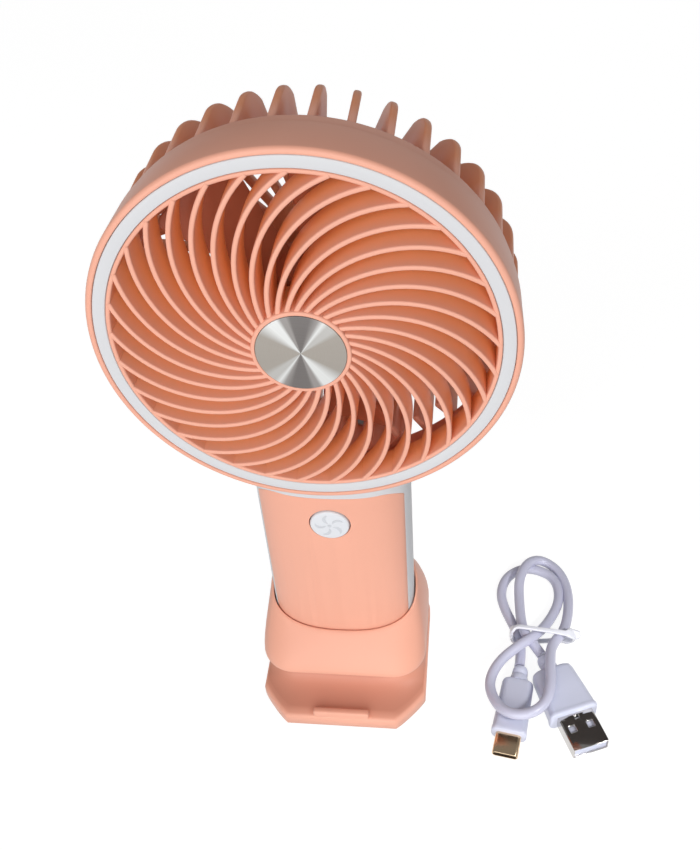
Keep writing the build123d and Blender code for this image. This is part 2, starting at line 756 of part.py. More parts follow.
def rest_section(z, nose, turn):
    """The rest's outline at one height. Its corners turn from the brow's round (0) to the ledge's cut (1)."""
    half, _, rear, corner = BROW
    reach = LEDGE_EDGE + 0.1
    cut_x, cut_y = LEDGE_CHAMFER

    def between(brow_value, ledge_value):
        return brow_value + (ledge_value - brow_value) * turn

    side = between(half, LEDGE_HALF - reach)
    side_end = (side, nose + between(corner, cut_y))
    nose_end = (between(half - corner, LEDGE_HALF - reach - cut_x), nose)
    bulge = corner * (1 - 1 / math.sqrt(2)) * (1 - turn * 0.95)
    middle = ((side_end[0] + nose_end[0]) / 2, (side_end[1] + nose_end[1]) / 2)
    across = (side_end[1] - nose_end[1], -(side_end[0] - nose_end[0]))
    size = math.hypot(*across)
    arc_mid = (middle[0] + across[0] / size * bulge, middle[1] + across[1] / size * bulge)
    back = between(rear, LEDGE_REAR - reach)
    edges = [
        ThreePointArc(side_end, arc_mid, nose_end),
        Line(nose_end, (-nose_end[0], nose)),
        ThreePointArc((-nose_end[0], nose), (-arc_mid[0], arc_mid[1]), (-side_end[0], side_end[1])),
        Line((-side_end[0], side_end[1]), (-side, back - corner)),
        RadiusArc((-side, back - corner), (-side + corner, back), corner),
        Line((-side + corner, back), (side - corner, back)),
        RadiusArc((side - corner, back), (side, back - corner), corner),
        Line((side, back - corner), side_end),
    ]
    return Plane.XY.offset(z) * make_face(Curve() + edges)


def stand_rest():
    """The groove that a phone's edge stands in, between the ledge and the brow."""
    return loft([rest_section(*level) for level in REST], ruled=True)


def stand_shoulders():
    body = loft([Plane.XY.offset(level[0]) * rounded(*level[1:]) for level in SHOULDERS])
    slope = math.radians(COLLAR_SLOPE)
    normal = (0, -math.sin(slope), math.cos(slope))
    tilt = Plane(origin=(0, -HANDLE_B, COLLAR_FRONT_Z), x_dir=(1, 0, 0), z_dir=normal)
    above = extrude(tilt * Rectangle(120, 120), amount=40)
    return body - above


def stand_lip():
    block = box((-LIP_HALF, LIP_FRONT, LEDGE_Z - 3), (LIP_HALF, LIP_REAR, LIP_TOP))
    return fillet(block.edges().group_by(Axis.Z)[-1], LIP_EDGE)


def stand_screw_posts(radius, low, high):
    spots = [(x, y) for x in (-STAND_SCREW_X, STAND_SCREW_X) for y in STAND_SCREW_Y]
    return [post(x, y, low, high, radius) for x, y in spots]


def stand_shell():
    body = stand_base().fuse(stand_rest(), stand_shoulders(), stand_lip())
    outline = rounded(*CAVITY)
    recess = extrude(Plane.XY * outline, amount=PLATE_HIGH)
    behind = extrude(Plane.XY * outline, amount=CAVITY_Z) & box((-40, 0, 0), (40, 40, CAVITY_Z))
    behind = behind - column(-SOCKET_GAP - WELL_WALL, PLATE_HIGH, CAVITY_Z)
    behind = behind.cut(*stand_screw_posts(2.5, PLATE_HIGH, CAVITY_Z))
    body = body - recess - behind - column(-SOCKET_GAP, HANDLE_FOOT, 60)
    return body.cut(*stand_screw_posts(SCREW_SHANK_R, PLATE_HIGH, PLATE_HIGH + 7))


def stand_base_plate():
    half, front, rear, corner = CAVITY
    outline = rounded(half - SEAM, front + SEAM, rear - SEAM, corner - SEAM)
    plate = extrude(Plane.XY.offset(PLATE_LOW) * outline, amount=PLATE_HIGH - PLATE_LOW)
    plate = plate.cut(*stand_screw_posts(SCREW_SHANK_R, 0, PLATE_HIGH + 1))
    return plate.cut(*stand_screw_posts(SCREW_HEAD_R + SEAM, 0, PLATE_LOW + SCREW_HEAD))


def stand_pad():
    return extrude(Plane.XY * rounded(*PAD), amount=PLATE_LOW)


def stand_screws():
    seat = PLATE_LOW + SCREW_HEAD
    heads = stand_screw_posts(SCREW_HEAD_R, PLATE_LOW, seat)
    shanks = stand_screw_posts(SCREW_SHANK_R, seat, PLATE_HIGH + 6)
    return Compound([head.fuse(shank) for head, shank in zip(heads, shanks)])


# ---------------------------------------------------------------- charging lead


def plug_plane(tip, heading, height):
    """A frame on a plug's axis: local z points out of the plug's tip, local x lies flat."""
    angle = math.radians(heading)
    out = (math.cos(angle), math.sin(angle), 0)
    return Plane(origin=(tip[0], tip[1], height), x_dir=(-out[1], out[0], 0), z_dir=out)


def plug_grip(plane, shell_long, grip, relief, nose_inset):
    """A moulded grip that narrows towards the cord, with a short strain relief."""
    front_wide, back_wide, thick, long = grip
    front = plane.offset(-shell_long)
    back = plane.offset(-shell_long - long)
    faces = [
        back * RectangleRounded(back_wide, thick - 1.0, 2.4),
        plane.offset(-shell_long - long * 0.5) * RectangleRounded((front_wide + back_wide) / 2, thick, 2.6),
        front * RectangleRounded(front_wide - nose_inset, thick - nose_inset, 2.4),
    ]
    neck = [back * Circle(2.9), plane.offset(-shell_long - long - relief) * Circle(2.2)]
    return loft(faces, ruled=True).fuse(loft(neck, ruled=True))


def plug_a_shell():
    wide, high, long = A_SHELL
    plane = plug_plane(A_TIP, A_HEADING, A_GRIP[2] / 2)
    shell = extrude(plane * RectangleRounded(wide, high, 0.5), amount=-long)
    mouth = extrude(plane * RectangleRounded(wide - 0.7, high - 0.7, 0.3), amount=-long + 1.5)
    bar = Location((0, -0.9)) * Rectangle(wide - 0.7, 1.9)
    tongue = extrude(plane.offset(-1.0) * bar, amount=-long + 2.0)
    holes = [
        plane.offset(-7.3) * Location((x, high / 2)) * Box(2.3, 2.0, 2.3) for x in (-3.1, 3.1)
    ]
    return (shell - mouth).fuse(tongue).cut(*holes)


def plug_a_grip():
    plane = plug_plane(A_TIP, A_HEADING, A_GRIP[2] / 2)
    return plug_grip(plane, A_SHELL[2], A_GRIP, A_RELIEF, 0.6)


def plug_c_shell():
    wide, high, long = C_SHELL
    plane = plug_plane(C_TIP, C_HEADING, C_GRIP[2] / 2)
    shell = extrude(plane * SlotOverall(wide, high), amount=-long)
    mouth = extrude(plane * SlotOverall(wide - 0.6, high - 0.6), amount=-long + 1.0)
    return shell - mouth


def plug_c_grip():
    plane = plug_plane(C_TIP, C_HEADING, C_GRIP[2] / 2)
    return plug_grip(plane, C_SHELL[2], C_GRIP, C_RELIEF, 0.6)


def hank_outlines():
    """The hank seen from above: the loops above the tie, and the one loop below it."""
    upper = Spline(
        (56.0, 6.0),
        (50.6, 20.0),
        (51.5, 32.0),
        (59.0, 41.5),
        (69.0, 44.6),
        (77.6, 37.0),
        (78.8, 24.0),
        (77.0, 6.0),
    )
    lower = Spline(
        (70.9, 6.0),
        (70.4, -8.0),
        (70.0, -19.0),
        (64.5, -28.4),
        (56.0, -30.2),
        (48.4, -23.5),
        (46.6, -13.0),
        (51.5, -3.2),
        (60.0, 6.0),
    )
    upper_face = make_face(Curve() + [upper, Line(upper @ 1, upper @ 0)])
    lower_face = make_face(Curve() + [lower, Line(lower @ 1, lower @ 0)])
    return upper_face, lower_face


def lead_hank():
    """The cord's outer shape, fitted round the tie and over the two grips."""
    upper_face, lower_face = hank_outlines()
    upper = extrude(upper_face, amount=HANK_UPPER_Z)
    lower = extrude(lower_face, amount=HANK_LOWER_Z)
    hank = upper.fuse(lower)
    return hank.cut(cord_tie(), plug_a_grip(), plug_c_grip()).solids().sort_by(SortBy.VOLUME)[-1]


def cord_tie():
    """A flat band round the middle of the hank."""
    front, rear = TIE_Y
    left, right = TIE_X
    middle = (left + right) / 2
    plane = Plane(origin=(middle, rear, TIE_Z / 2), x_dir=(1, 0, 0), z_dir=(0, -1, 0))
    wide = right - left
    outer = RectangleRounded(wide, TIE_Z, 2.5)
    inner = RectangleRounded(wide - 2 * TIE_THICK, TIE_Z - 2 * TIE_THICK, 1.5)
    return extrude(plane * (outer - inner), amount=rear - front)


# ---------------------------------------------------------------- all nodes

NODES = (
    stand_shell,
    stand_base_plate,
    stand_pad,
    stand_screws,
    front_bezel,
    trim_ring,
    front_grille,
    hub_badge,
    rear_shell,
    impeller,
    rotor_cup,
    rotor_magnet,
    motor_shaft,
    motor_bearings,
    bearing_tube,
    stator_core,
    stator_windings,
    motor_board,
    motor_screws,
    neck_screws,
    handle_frame,
    handle_front_panel,
    handle_rear_panel,
    power_button,
    button_switch,
    control_board,
    charge_board,
    board_parts,
    charge_socket,
    battery_cell,
    battery_tabs,
    battery_leads,
    motor_leads,
    handle_screws,
    lead_hank,
    cord_tie,
    plug_a_shell,
    plug_a_grip,
    plug_c_shell,
    plug_c_grip,
)

if __name__ == "__main__":
    os.makedirs("parts", exist_ok=True)
    for make in NODES:
        export_step(make(), f"parts/{make.__name__}.step")
        print("wrote", make.__name__)
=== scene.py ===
"""Looks for a hand-held fan standing in its phone rest, with its charging lead beside it."""

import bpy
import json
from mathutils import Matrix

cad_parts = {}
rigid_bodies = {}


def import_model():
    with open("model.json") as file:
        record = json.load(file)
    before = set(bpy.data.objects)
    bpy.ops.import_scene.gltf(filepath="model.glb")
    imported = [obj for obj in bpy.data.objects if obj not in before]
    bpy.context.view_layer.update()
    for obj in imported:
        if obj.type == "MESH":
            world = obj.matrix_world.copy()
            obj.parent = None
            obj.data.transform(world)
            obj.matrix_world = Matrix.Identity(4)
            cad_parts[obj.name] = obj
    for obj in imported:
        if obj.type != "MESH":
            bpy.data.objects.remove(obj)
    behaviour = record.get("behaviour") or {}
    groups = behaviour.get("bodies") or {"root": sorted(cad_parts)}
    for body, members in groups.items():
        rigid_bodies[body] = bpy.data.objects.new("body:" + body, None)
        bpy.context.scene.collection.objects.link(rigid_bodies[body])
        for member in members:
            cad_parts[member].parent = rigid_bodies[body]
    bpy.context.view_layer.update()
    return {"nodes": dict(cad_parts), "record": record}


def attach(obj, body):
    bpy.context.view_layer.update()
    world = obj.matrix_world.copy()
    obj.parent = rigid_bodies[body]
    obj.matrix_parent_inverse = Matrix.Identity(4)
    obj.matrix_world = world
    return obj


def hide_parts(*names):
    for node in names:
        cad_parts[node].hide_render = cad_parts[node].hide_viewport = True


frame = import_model()

import json
import math

import bmesh
import bpy
from bpy.props import FloatProperty, FloatVectorProperty, IntProperty, PointerProperty
from mathutils import Matrix, Vector

bl_info = {
    "name": "Hand Fan Looks",
    "version": (1, 0, 0),
    "blender": (4, 5, 0),
    "location": "View3D > Sidebar > Hand Fan",
    "description": "Builds the visible pieces, finishes and stage of a hand-held fan",
    "category": "Add Mesh",
}

MM = 0.001
TURN = 2 * math.pi
OVAL_POWER = 2.5
HEAD_Z = 155.0
HEAD = Vector((0, 0, HEAD_Z)) * MM
ALONG_Y = (0, 1, 0)
VANE_REACH = (11.5, 46.4)
VANE_FRONT, VANE_REAR = -24.0, -13.5
DOME_SLOPE, DOME_CURVE = 0.0155, 0.00112
SLOT_OF = {part["node"]: part["material_slot"] for part in frame["record"]["subparts"]}


# ---- sizes and colours


def size(name, description, default):
    return FloatProperty(
        name=name, description=description, default=default * MM, unit="LENGTH", subtype="DISTANCE"
    )


def colour(name, description, default):
    return FloatVectorProperty(
        name=name, description=description, default=default, size=3, min=0.0, max=1.0, subtype="COLOR"
    )


class FanSizes(bpy.types.PropertyGroup):
    """Sizes of what shows."""

    vane_count: IntProperty(name="Vanes", description="Curved vanes in the front grille", default=33, min=3)
    vane_thick: size("Vane thickness", "Thickness of one front vane", 1.25)
    fin_count: IntProperty(name="Fins", description="Fins round the rear of the head", default=36, min=3)
    fin_thick: size("Fin thickness", "Thickness of one rear fin", 2.0)
    cord_thick: size("Cord thickness", "Diameter of the charging lead's cord", 3.5)


class FanColours(bpy.types.PropertyGroup):
    """Base colours of the finishes."""

    peach: colour("Peach", "Satin moulded body plastic", (0.87, 0.42, 0.30))
    deep: colour("Deep peach", "Body plastic deep between the vanes", (0.99, 0.45, 0.18))
    # painted shade: a deeper orange copy of the peach, painted between the vanes where shade falls
    fin: colour("Fins", "Body plastic on the rear fins", (0.84, 0.33, 0.17))
    # painted shade: a darker copy of the peach, painted over the rear of the head where shade falls on the fins
    blade: colour("Blades", "Impeller plastic", (0.50, 0.15, 0.075))
    # painted shade: a dark copy of the peach for the impeller, which sits in shade inside the head
    pale: colour("Pale", "Cool white trim plastic", (0.665, 0.67, 0.69))
    button: colour("Button", "White button plastic", (0.74, 0.76, 0.80))
    cord: colour("Cord", "Soft cord jacket", (0.56, 0.56, 0.70))
    grip: colour("Grip", "Moulded plug grips", (0.62, 0.64, 0.78))


# ---- modelling


def deselect():
    if bpy.context.mode != "OBJECT":
        bpy.ops.object.mode_set(mode="OBJECT")
    bpy.ops.object.select_all(action="DESELECT")


def take(*pieces):
    """Selects pieces and makes the first one active."""
    deselect()
    for piece in pieces:
        piece.select_set(True)
    bpy.context.view_layer.objects.active = pieces[0]
    return pieces[0]


def edit():
    bpy.ops.object.mode_set(mode="EDIT")
    bpy.ops.mesh.select_mode(type="VERT")
    bpy.ops.mesh.select_all(action="SELECT")


def leave():
    bpy.ops.object.mode_set(mode="OBJECT")


def pick(kind, test):
    """Selects the vertices, edges or faces of the piece in edit mode that pass a test."""
    bpy.ops.mesh.select_mode(type=kind)
    bpy.ops.mesh.select_all(action="DESELECT")
    mesh = bmesh.from_edit_mesh(bpy.context.object.data)
    for part in {"VERT": mesh.verts, "EDGE": mesh.edges, "FACE": mesh.faces}[kind]:
        if test(part):
            part.select_set(True)
    bmesh.update_edit_mesh(bpy.context.object.data)


def keep(test):
    """Leaves only those of the selected vertices that pass a test."""
    mesh = bmesh.from_edit_mesh(bpy.context.object.data)
    for vertex in mesh.verts:
        if vertex.select:
            vertex.select_set(test(vertex))
    bmesh.update_edit_mesh(bpy.context.object.data)


def weld(distance=0.004):
    bpy.ops.mesh.select_all(action="SELECT")
    bpy.ops.mesh.remove_doubles(threshold=distance * MM)


def outwards():
    bpy.ops.mesh.select_all(action="SELECT")
    bpy.ops.mesh.normals_make_consistent(inside=False)


def blank(name):
    """A new piece with nothing in it yet, at the origin and in edit mode."""
    deselect()
    bpy.ops.mesh.primitive_plane_add(size=MM, location=(0, 0, 0))
    piece = bpy.context.object
    piece.name = name
    edit()
    bpy.ops.mesh.delete(type="VERT")
    return piece


def outline(name, points, closed=True):
    """A piece whose edges run through points in millimetres, left in edit mode."""
    piece = blank(name)
    places = [Vector(point) * MM for point in points]
    if closed:
        places.append(places[0])
    bpy.ops.mesh.primitive_plane_add(size=MM, location=places[0])
    bpy.ops.mesh.merge(type="CENTER")
    for start, stop in zip(places, places[1:]):
        bpy.ops.mesh.extrude_region_move(TRANSFORM_OT_translate={"value": stop - start})
    weld()
    bpy.ops.mesh.select_all(action="SELECT")
    return piece


def sheet_cut(name, points, thickness):
    """A flat plate with the outline given, thickened along a vector in millimetres."""
    piece = outline(name, points)
    bpy.ops.mesh.edge_face_add()
    bpy.ops.mesh.extrude_region_move(TRANSFORM_OT_translate={"value": Vector(thickness) * MM})
    outwards()
    leave()
    return piece


def turned(name, profile, steps=160, centre_z=HEAD_Z):
    """A piece turned about a line along Y, from a closed profile of (radius, y)."""
    piece = outline(name, [(0, y, centre_z + radius) for radius, y in profile])
    bpy.ops.mesh.spin(steps=steps, angle=TURN, center=(0, 0, centre_z * MM), axis=ALONG_Y)
    weld()
    outwards()
    leave()
    return piece


def arc(start, mid, stop, steps):
    """Points in a plane along the arc through three points, both ends included."""
    (ax, ay), (bx, by), (cx, cy) = start, mid, stop
    d = 2 * (ax * (by - cy) + bx * (cy - ay) + cx * (ay - by))
    a2, b2, c2 = ax * ax + ay * ay, bx * bx + by * by, cx * cx + cy * cy
    ux = (a2 * (by - cy) + b2 * (cy - ay) + c2 * (ay - by)) / d
    uy = (a2 * (cx - bx) + b2 * (ax - cx) + c2 * (bx - ax)) / d
    radius = math.hypot(ax - ux, ay - uy)
    first, last = math.atan2(ay - uy, ax - ux), math.atan2(cy - uy, cx - ux)
    between = math.atan2(by - uy, bx - ux)
    sweep = (last - first) % TURN
    if (between - first) % TURN > sweep:
        sweep -= TURN
    angles = [first + sweep * i / steps for i in range(steps + 1)]
    return [(ux + radius * math.cos(t), uy + radius * math.sin(t)) for t in angles]


def eased(points, steps=4):
    """A closed profile with its corners rounded; each point is (u, v, corner radius)."""
    result = []
    for i, (u, v, radius) in enumerate(points):
        here = Vector((u, v))
        if radius == 0:
            result.append((u, v))
            continue
        back = (Vector(points[i - 1][:2]) - here).normalized()
        on = (Vector(points[(i + 1) % len(points)][:2]) - here).normalized()
        half = back.angle(on) / 2
        run = radius / math.tan(half)
        centre = here + (back + on).normalized() * (radius / math.sin(half))
        start, stop = here + back * run, here + on * run
        mid = centre + (here - centre).normalized() * radius
        result += arc(tuple(start), tuple(mid), tuple(stop), steps)
    return result


def round_corners(offset, segments, power=2.0):
    bpy.ops.mesh.bevel(offset=offset * MM, segments=segments, profile=0.5 ** (2 / power), affect="VERTICES")


def add_loop(half_x, half_y, place, corner, power=2.0, segments=8):
    """Adds a rectangle with rounded corners as a face; power 2 makes round corners and 1 cut ones."""
    place = Vector(place) * MM
    bpy.ops.mesh.primitive_plane_add(size=2 * MM, location=place)
    bpy.ops.transform.resize(value=(half_x, half_y, 1), center_override=place)
    round_corners(corner, segments, power)


def add_oval(half_x, half_y, z):
    """Adds an oval, squared off a little, as a face."""
    place = Vector((0, 0, z)) * MM
    bpy.ops.mesh.primitive_plane_add(size=2 * MM, location=place)
    round_corners(1.0, 16, OVAL_POWER)
    bpy.ops.mesh.remove_doubles(threshold=0.001 * MM)
    bpy.ops.transform.resize(value=(half_x, half_y, 1), center_override=place)


def skinned(name, loops):
    """A closed piece whose skin runs through loops in order. Each loop is a call that adds it."""
    piece = blank(name)
    for i, add in enumerate(loops):
        add()
        piece.vertex_groups.new(name=f"loop{i}")
        bpy.ops.object.vertex_group_assign()
        bpy.ops.mesh.select_all(action="DESELECT")

    def choose(*numbers):
        bpy.ops.mesh.select_all(action="DESELECT")
        for number in numbers:
            piece.vertex_groups.active_index = number
            bpy.ops.object.vertex_group_select()

    bpy.ops.mesh.select_all(action="SELECT")
    bpy.ops.mesh.delete(type="ONLY_FACE")
    for i in range(len(loops) - 1):
        choose(i, i + 1)
        bpy.ops.mesh.bridge_edge_loops()
    for end in (0, len(loops) - 1):
        choose(end)
        bpy.ops.mesh.edge_face_add()
    outwards()
    leave()
    piece.vertex_groups.clear()
    return piece


def apply(piece, kind, **settings):
    """Adds a modifier, sets it and applies it."""
    take(piece)
    modifier = piece.modifiers.new(kind.lower(), kind)
    for name, value in settings.items():
        setattr(modifier, name, value)
    bpy.ops.object.modifier_apply(modifier=modifier.name)
    return piece


def rounded_edges(piece, width, segments=3, angle=40.0):
    return apply(
        piece, "BEVEL", width=width * MM, segments=segments, limit_method="ANGLE",
        angle_limit=math.radians(angle), use_clamp_overlap=True, miter_outer="MITER_ARC",
    )


def boxed(name, half, centre):
    """A box from its half sizes and its middle, in millimetres."""
    deselect()
    bpy.ops.mesh.primitive_cube_add(size=2 * MM, location=Vector(centre) * MM, scale=half)
    piece = bpy.context.object
    piece.name = name
    bpy.ops.object.transform_apply(location=True, rotation=True, scale=True)
    return piece


def cut(piece, tool, operation="DIFFERENCE"):
    """Cuts a piece with a tool, which is used up."""
    apply(piece, "BOOLEAN", object=tool, operation=operation, solver="EXACT")
    take(tool)
    bpy.ops.object.delete()
    return take(piece)


def joined(name, *pieces):
    piece = take(*pieces)
    bpy.ops.object.join()
    piece.name = name
    return piece


def repeated(piece, count, first=0.0):
    """Copies of a piece all round the head's axis, as one piece. Angles run clockwise seen from the front."""
    copies = [piece]
    for _ in range(1, count):
        take(piece)
        bpy.ops.object.duplicate(linked=False)
        copies.append(bpy.context.object)
    for i, copy in enumerate(copies):
        take(copy)
        edit()
        turn = -math.radians(first) - TURN * i / count
        bpy.ops.transform.rotate(value=turn, orient_axis="Y", center_override=HEAD)
        leave()
    return joined(piece.name, *copies)


def placed(piece, matrix):
    """Moves a finished shape to its place and leaves the place in its mesh."""
    take(piece)
    piece.matrix_world = matrix
    bpy.ops.object.transform_apply(location=True, rotation=True, scale=True)
    return piece


def copied(node, name, edge=0.25, segments=2):
    """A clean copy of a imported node's shape, with its edges rounded."""
    source = frame["nodes"][node]
    piece = bpy.data.objects.new(name, source.data.copy())
    bpy.context.scene.collection.objects.link(piece)
    piece.data.materials.clear()
    take(piece)
    if piece.data.has_custom_normals:
        bpy.ops.mesh.customdata_custom_splitnormals_clear()
    edit()
    weld(0.02)
    bpy.ops.mesh.select_all(action="SELECT")
    bpy.ops.mesh.dissolve_limited(angle_limit=math.radians(1.0))
    leave()
    if edge:
        rounded_edges(piece, edge, segments, 35.0)
    return piece


def finished(piece, body, slot, nodes=(), angle=35.0, finish=None):
    """Smooths a piece and gives it its body, its finish and the nodes it stands for."""
    take(piece)
    bpy.ops.object.shade_smooth_by_angle(angle=math.radians(angle))
    piece.data.name = piece.name
    piece.data.materials.clear()
    piece.data.materials.append(finish_of(finish or slot))
    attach(piece, body)
    if nodes:
        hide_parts(*nodes)
    return piece


# ---- finishes


class Wire:
    """A shader socket that takes part in sums: an expression adds its Math nodes."""

    def __init__(self, recipe, socket):
        self.recipe = recipe
        self.socket = socket

    def sum(self, operation, *terms):
        return self.recipe.node("ShaderNodeMath", {"operation": operation}, dict(enumerate(terms)))[0]

    def __add__(self, other):
        return self.sum("ADD", self, other)

    def __sub__(self, other):
        return self.sum("SUBTRACT", self, other)

    def __mul__(self, other):
        return self.sum("MULTIPLY", self, other)

    def __truediv__(self, other):
        return self.sum("DIVIDE", self, other)

    def __pow__(self, other):
        return self.sum("POWER", self, other)

    __radd__ = __add__


class Recipe:
    """The nodes of one finish."""

    def __init__(self, name):
        self.material = bpy.data.materials.new(name)
        self.material.use_nodes = True
        self.tree = self.material.node_tree
        self.tree.nodes.clear()
        self.place = self.node("ShaderNodeTexCoord")[3]

    def node(self, kind, settings=None, sockets=None):
        """Adds a node: its settings first, then its sockets' values or links. Returns its outputs."""
        node = self.tree.nodes.new(kind)
        for name, value in (settings or {}).items():
            if name == "stops":
                self.set_stops(node.color_ramp, value)
            else:
                setattr(node, name, value)
        for name, value in (sockets or {}).items():
            if isinstance(value, Wire):
                self.tree.links.new(value.socket, node.inputs[name])
            else:
                node.inputs[name].default_value = value
        return [Wire(self, output) for output in node.outputs]

    @staticmethod
    def set_stops(ramp, stops):
        """The ramp starts with an element at each end, so only the stops between are new."""
        first, last = ramp.elements[0], ramp.elements[-1]
        for element, (place, tint) in ((first, stops[0]), (last, stops[-1])):
            element.position = place
            element.color = (*tint, 1.0)
        for place, tint in stops[1:-1]:
            ramp.elements.new(place).color = (*tint, 1.0)

    def axes(self):
        """The place's X, Y and Z, in metres."""
        return self.node("ShaderNodeSeparateXYZ", None, {0: self.place})

    def rise(self, value, low, high):
        """From 0 at low to 1 at high, held there beyond them."""
        return self.node("ShaderNodeMapRange", None, {0: value, 1: low, 2: high, 3: 0.0, 4: 1.0})[0]

    def noise(self, per_metre, detail=2.0, place=None, roughness=0.5):
        place = place or self.place
        sockets = {"Vector": place, "Scale": per_metre, "Detail": detail, "Roughness": roughness}
        return self.node("ShaderNodeTexNoise", None, sockets)[0]

    def mix(self, factor, first, second):
        return self.node("ShaderNodeMix", {"data_type": "RGBA"}, {0: factor, 6: first, 7: second})[2]

    def bump(self, height, distance, strength=1.0, under=None):
        sockets = {"Strength": strength, "Distance": distance * MM, "Height": height}
        if under:
            sockets["Normal"] = under
        return self.node("ShaderNodeBump", None, sockets)[0]

    def finish(self, **sockets):
        """Ends the recipe in a principled shader, with spaces in socket names written as underscores."""
        named = {name.replace("_", " "): value for name, value in sockets.items()}
        shader = self.node("ShaderNodeBsdfPrincipled", None, named)[0]
        self.node("ShaderNodeOutputMaterial", None, {"Surface": shader})
        return self.material


def shade(tint, lightness=1.0):
    return (*(min(1.0, channel * lightness) for channel in tint), 1.0)


def moulded(name, tint, rough=0.42, drift=0.05, grain=0.5, deep=None, depth=None, **more):
    """Moulded plastic: faint flow marks in its colour, and a fine even texture that breaks up its shine.

    Where depth says so, from 0 to 1, the colour turns to a deeper one: painted shade, for the shade that falls
    in a recess.
    """
    recipe = Recipe(f"{name}_looks")
    flow = recipe.noise(45.0, 3.0)
    base = recipe.mix(flow, shade(tint, 1.0 - drift), shade(tint, 1.0 + drift))
    speckle = recipe.noise(900.0, 2.0)
    base = recipe.mix(speckle * 0.06, base, shade(tint, 0.82))
    if depth:
        base = recipe.mix(depth(recipe), base, shade(deep))
    fine = recipe.noise(3200.0, 2.0)
    roughness = rough + (flow - 0.5) * 0.08 + (fine - 0.5) * 0.1
    normal = recipe.bump(fine, 0.012 * grain, 0.6)
    normal = recipe.bump(recipe.noise(120.0, 1.0), 0.02 * grain, 0.5, normal)
    return recipe.finish(Base_Color=base, Roughness=roughness, Normal=normal, Specular_IOR_Level=0.32, **more)


def between_vanes(recipe):
    """How deep a point lies behind the grille's domed front: the mask of the painted shade between the vanes."""
    x, y, z = recipe.axes()
    up = z - HEAD_Z * MM
    out = (x * x + up * up) ** 0.5 / MM - VANE_REACH[0]
    front = out * DOME_SLOPE + out * out * DOME_CURVE + VANE_FRONT
    depth = recipe.rise(y / MM - front, 0.3, 6.0)
    return depth**0.85


def over_fins(recipe):
    """How far back a point lies on the rear shell, from its smooth band to its fins: the mask of the painted
    shade over the rear.
    """
    _, y, _ = recipe.axes()
    return recipe.rise(y / MM, -3.0, 3.0)


def inside_rest(recipe):
    """How deep a point lies in the groove that a phone's foot rests in: the mask of the painted shade in the
    groove.
    """
    _, y, z = recipe.axes()
    behind = recipe.rise(y / MM, -30.0, -27.0)
    below = recipe.rise(z / MM, 16.9, 15.6)
    above = recipe.rise(z / MM, 5.4, 5.7)
    return behind * below * above


def spun_metal_painted_reflections():
    """Sheet steel spun about its centre, crossed by fine rings, with wedges of light and dark painted on as its
    reflections.
    """
    recipe = Recipe("badge_steel_looks")
    x, y, z = recipe.axes()
    up = z - HEAD_Z * MM
    bearing = x.sum("ARCTAN2", x, up)
    radius = (x * x + up * up) ** 0.5
    half_turns = (bearing / math.pi).sum("WRAP", bearing / math.pi, 1.0, 0.0)
    # painted reflection: the tones of the wedges mirrored in the spun steel
    dark, mid, sand, light, white = (
        (0.10, 0.085, 0.08), (0.26, 0.24, 0.23), (0.33, 0.295, 0.255), (0.46, 0.45, 0.43), (0.74, 0.75, 0.74),
    )
    stops = [
        (0.0, dark), (0.09, dark), (0.15, mid), (0.19, white), (0.225, light), (0.28, light), (0.33, sand),
        (0.50, sand), (0.67, sand), (0.71, light), (0.78, white), (0.85, white), (0.885, mid), (0.925, mid),
        (0.955, dark), (1.0, dark),
    ]
    ramp = recipe.node("ShaderNodeValToRGB", {"stops": stops}, {0: half_turns})[0]
    ring_place = recipe.node("ShaderNodeCombineXYZ", None, {0: radius})[0]
    rings = recipe.noise(5200.0, 3.0, ring_place)
    # uneven streaks across the painted reflection's wedges
    turn_place = recipe.node("ShaderNodeCombineXYZ", None, {0: half_turns})[0]
    streaks = recipe.noise(9.0, 4.0, turn_place, 0.7)
    base = recipe.mix(rings * 0.14, ramp, (0.8, 0.8, 0.8, 1.0))
    base = recipe.mix((streaks - 0.35) * 0.35, base, (0.25, 0.23, 0.21, 1.0))
    normal = recipe.bump(rings, 0.004, 0.5)
    return recipe.finish(Base_Color=base, Roughness=0.34 + (rings - 0.5) * 0.2, Normal=normal, Metallic=0.35)


def plated(name, tint, rough):
    """Plated or drawn metal with faint rubbing marks."""
    recipe = Recipe(f"{name}_looks")
    stretch = recipe.node("ShaderNodeMapping", None, {"Vector": recipe.place, "Scale": (1.0, 1.0, 6.0)})[0]
    rub = recipe.noise(700.0, 3.0, stretch)
    cloud = recipe.noise(160.0, 2.0)
    base = recipe.mix(cloud * 0.3, shade(tint), shade(tint, 0.55))
    normal = recipe.bump(rub, 0.004, 0.4)
    return recipe.finish(Base_Color=base, Roughness=rough + (rub - 0.5) * 0.12, Normal=normal, Metallic=1.0)


def laminate():
    """Solder-masked board with faint tracks."""
    recipe = Recipe("board_laminate_looks")
    sockets = {"Vector": recipe.place, "Scale": 420.0}
    tracks = recipe.node("ShaderNodeTexVoronoi", {"distance": "CHEBYCHEV"}, sockets)[0]
    edge = tracks.sum("GREATER_THAN", tracks, 0.42)
    base = recipe.mix(edge, (0.02, 0.16, 0.07, 1.0), (0.05, 0.3, 0.13, 1.0))
    return recipe.finish(Base_Color=base, Roughness=0.25 + edge * 0.08, Normal=recipe.bump(edge, 0.02, 0.6))


def wound(name, tint, per_metre, rough, metallic):
    """Wire laid in turns, or laminations in a stack: fine even ridges along Y."""
    recipe = Recipe(f"{name}_looks")
    sockets = {"Vector": recipe.place, "Scale": per_metre, "Distortion": 0.4}
    ridges = recipe.node("ShaderNodeTexWave", {"bands_direction": "Y"}, sockets)[1]
    base = recipe.mix(ridges, shade(tint, 0.6), shade(tint, 1.15))
    return recipe.finish(
        Base_Color=base,
        Roughness=rough + ridges * 0.1,
        Metallic=metallic,
        Normal=recipe.bump(ridges, 0.05, 0.6),
    )


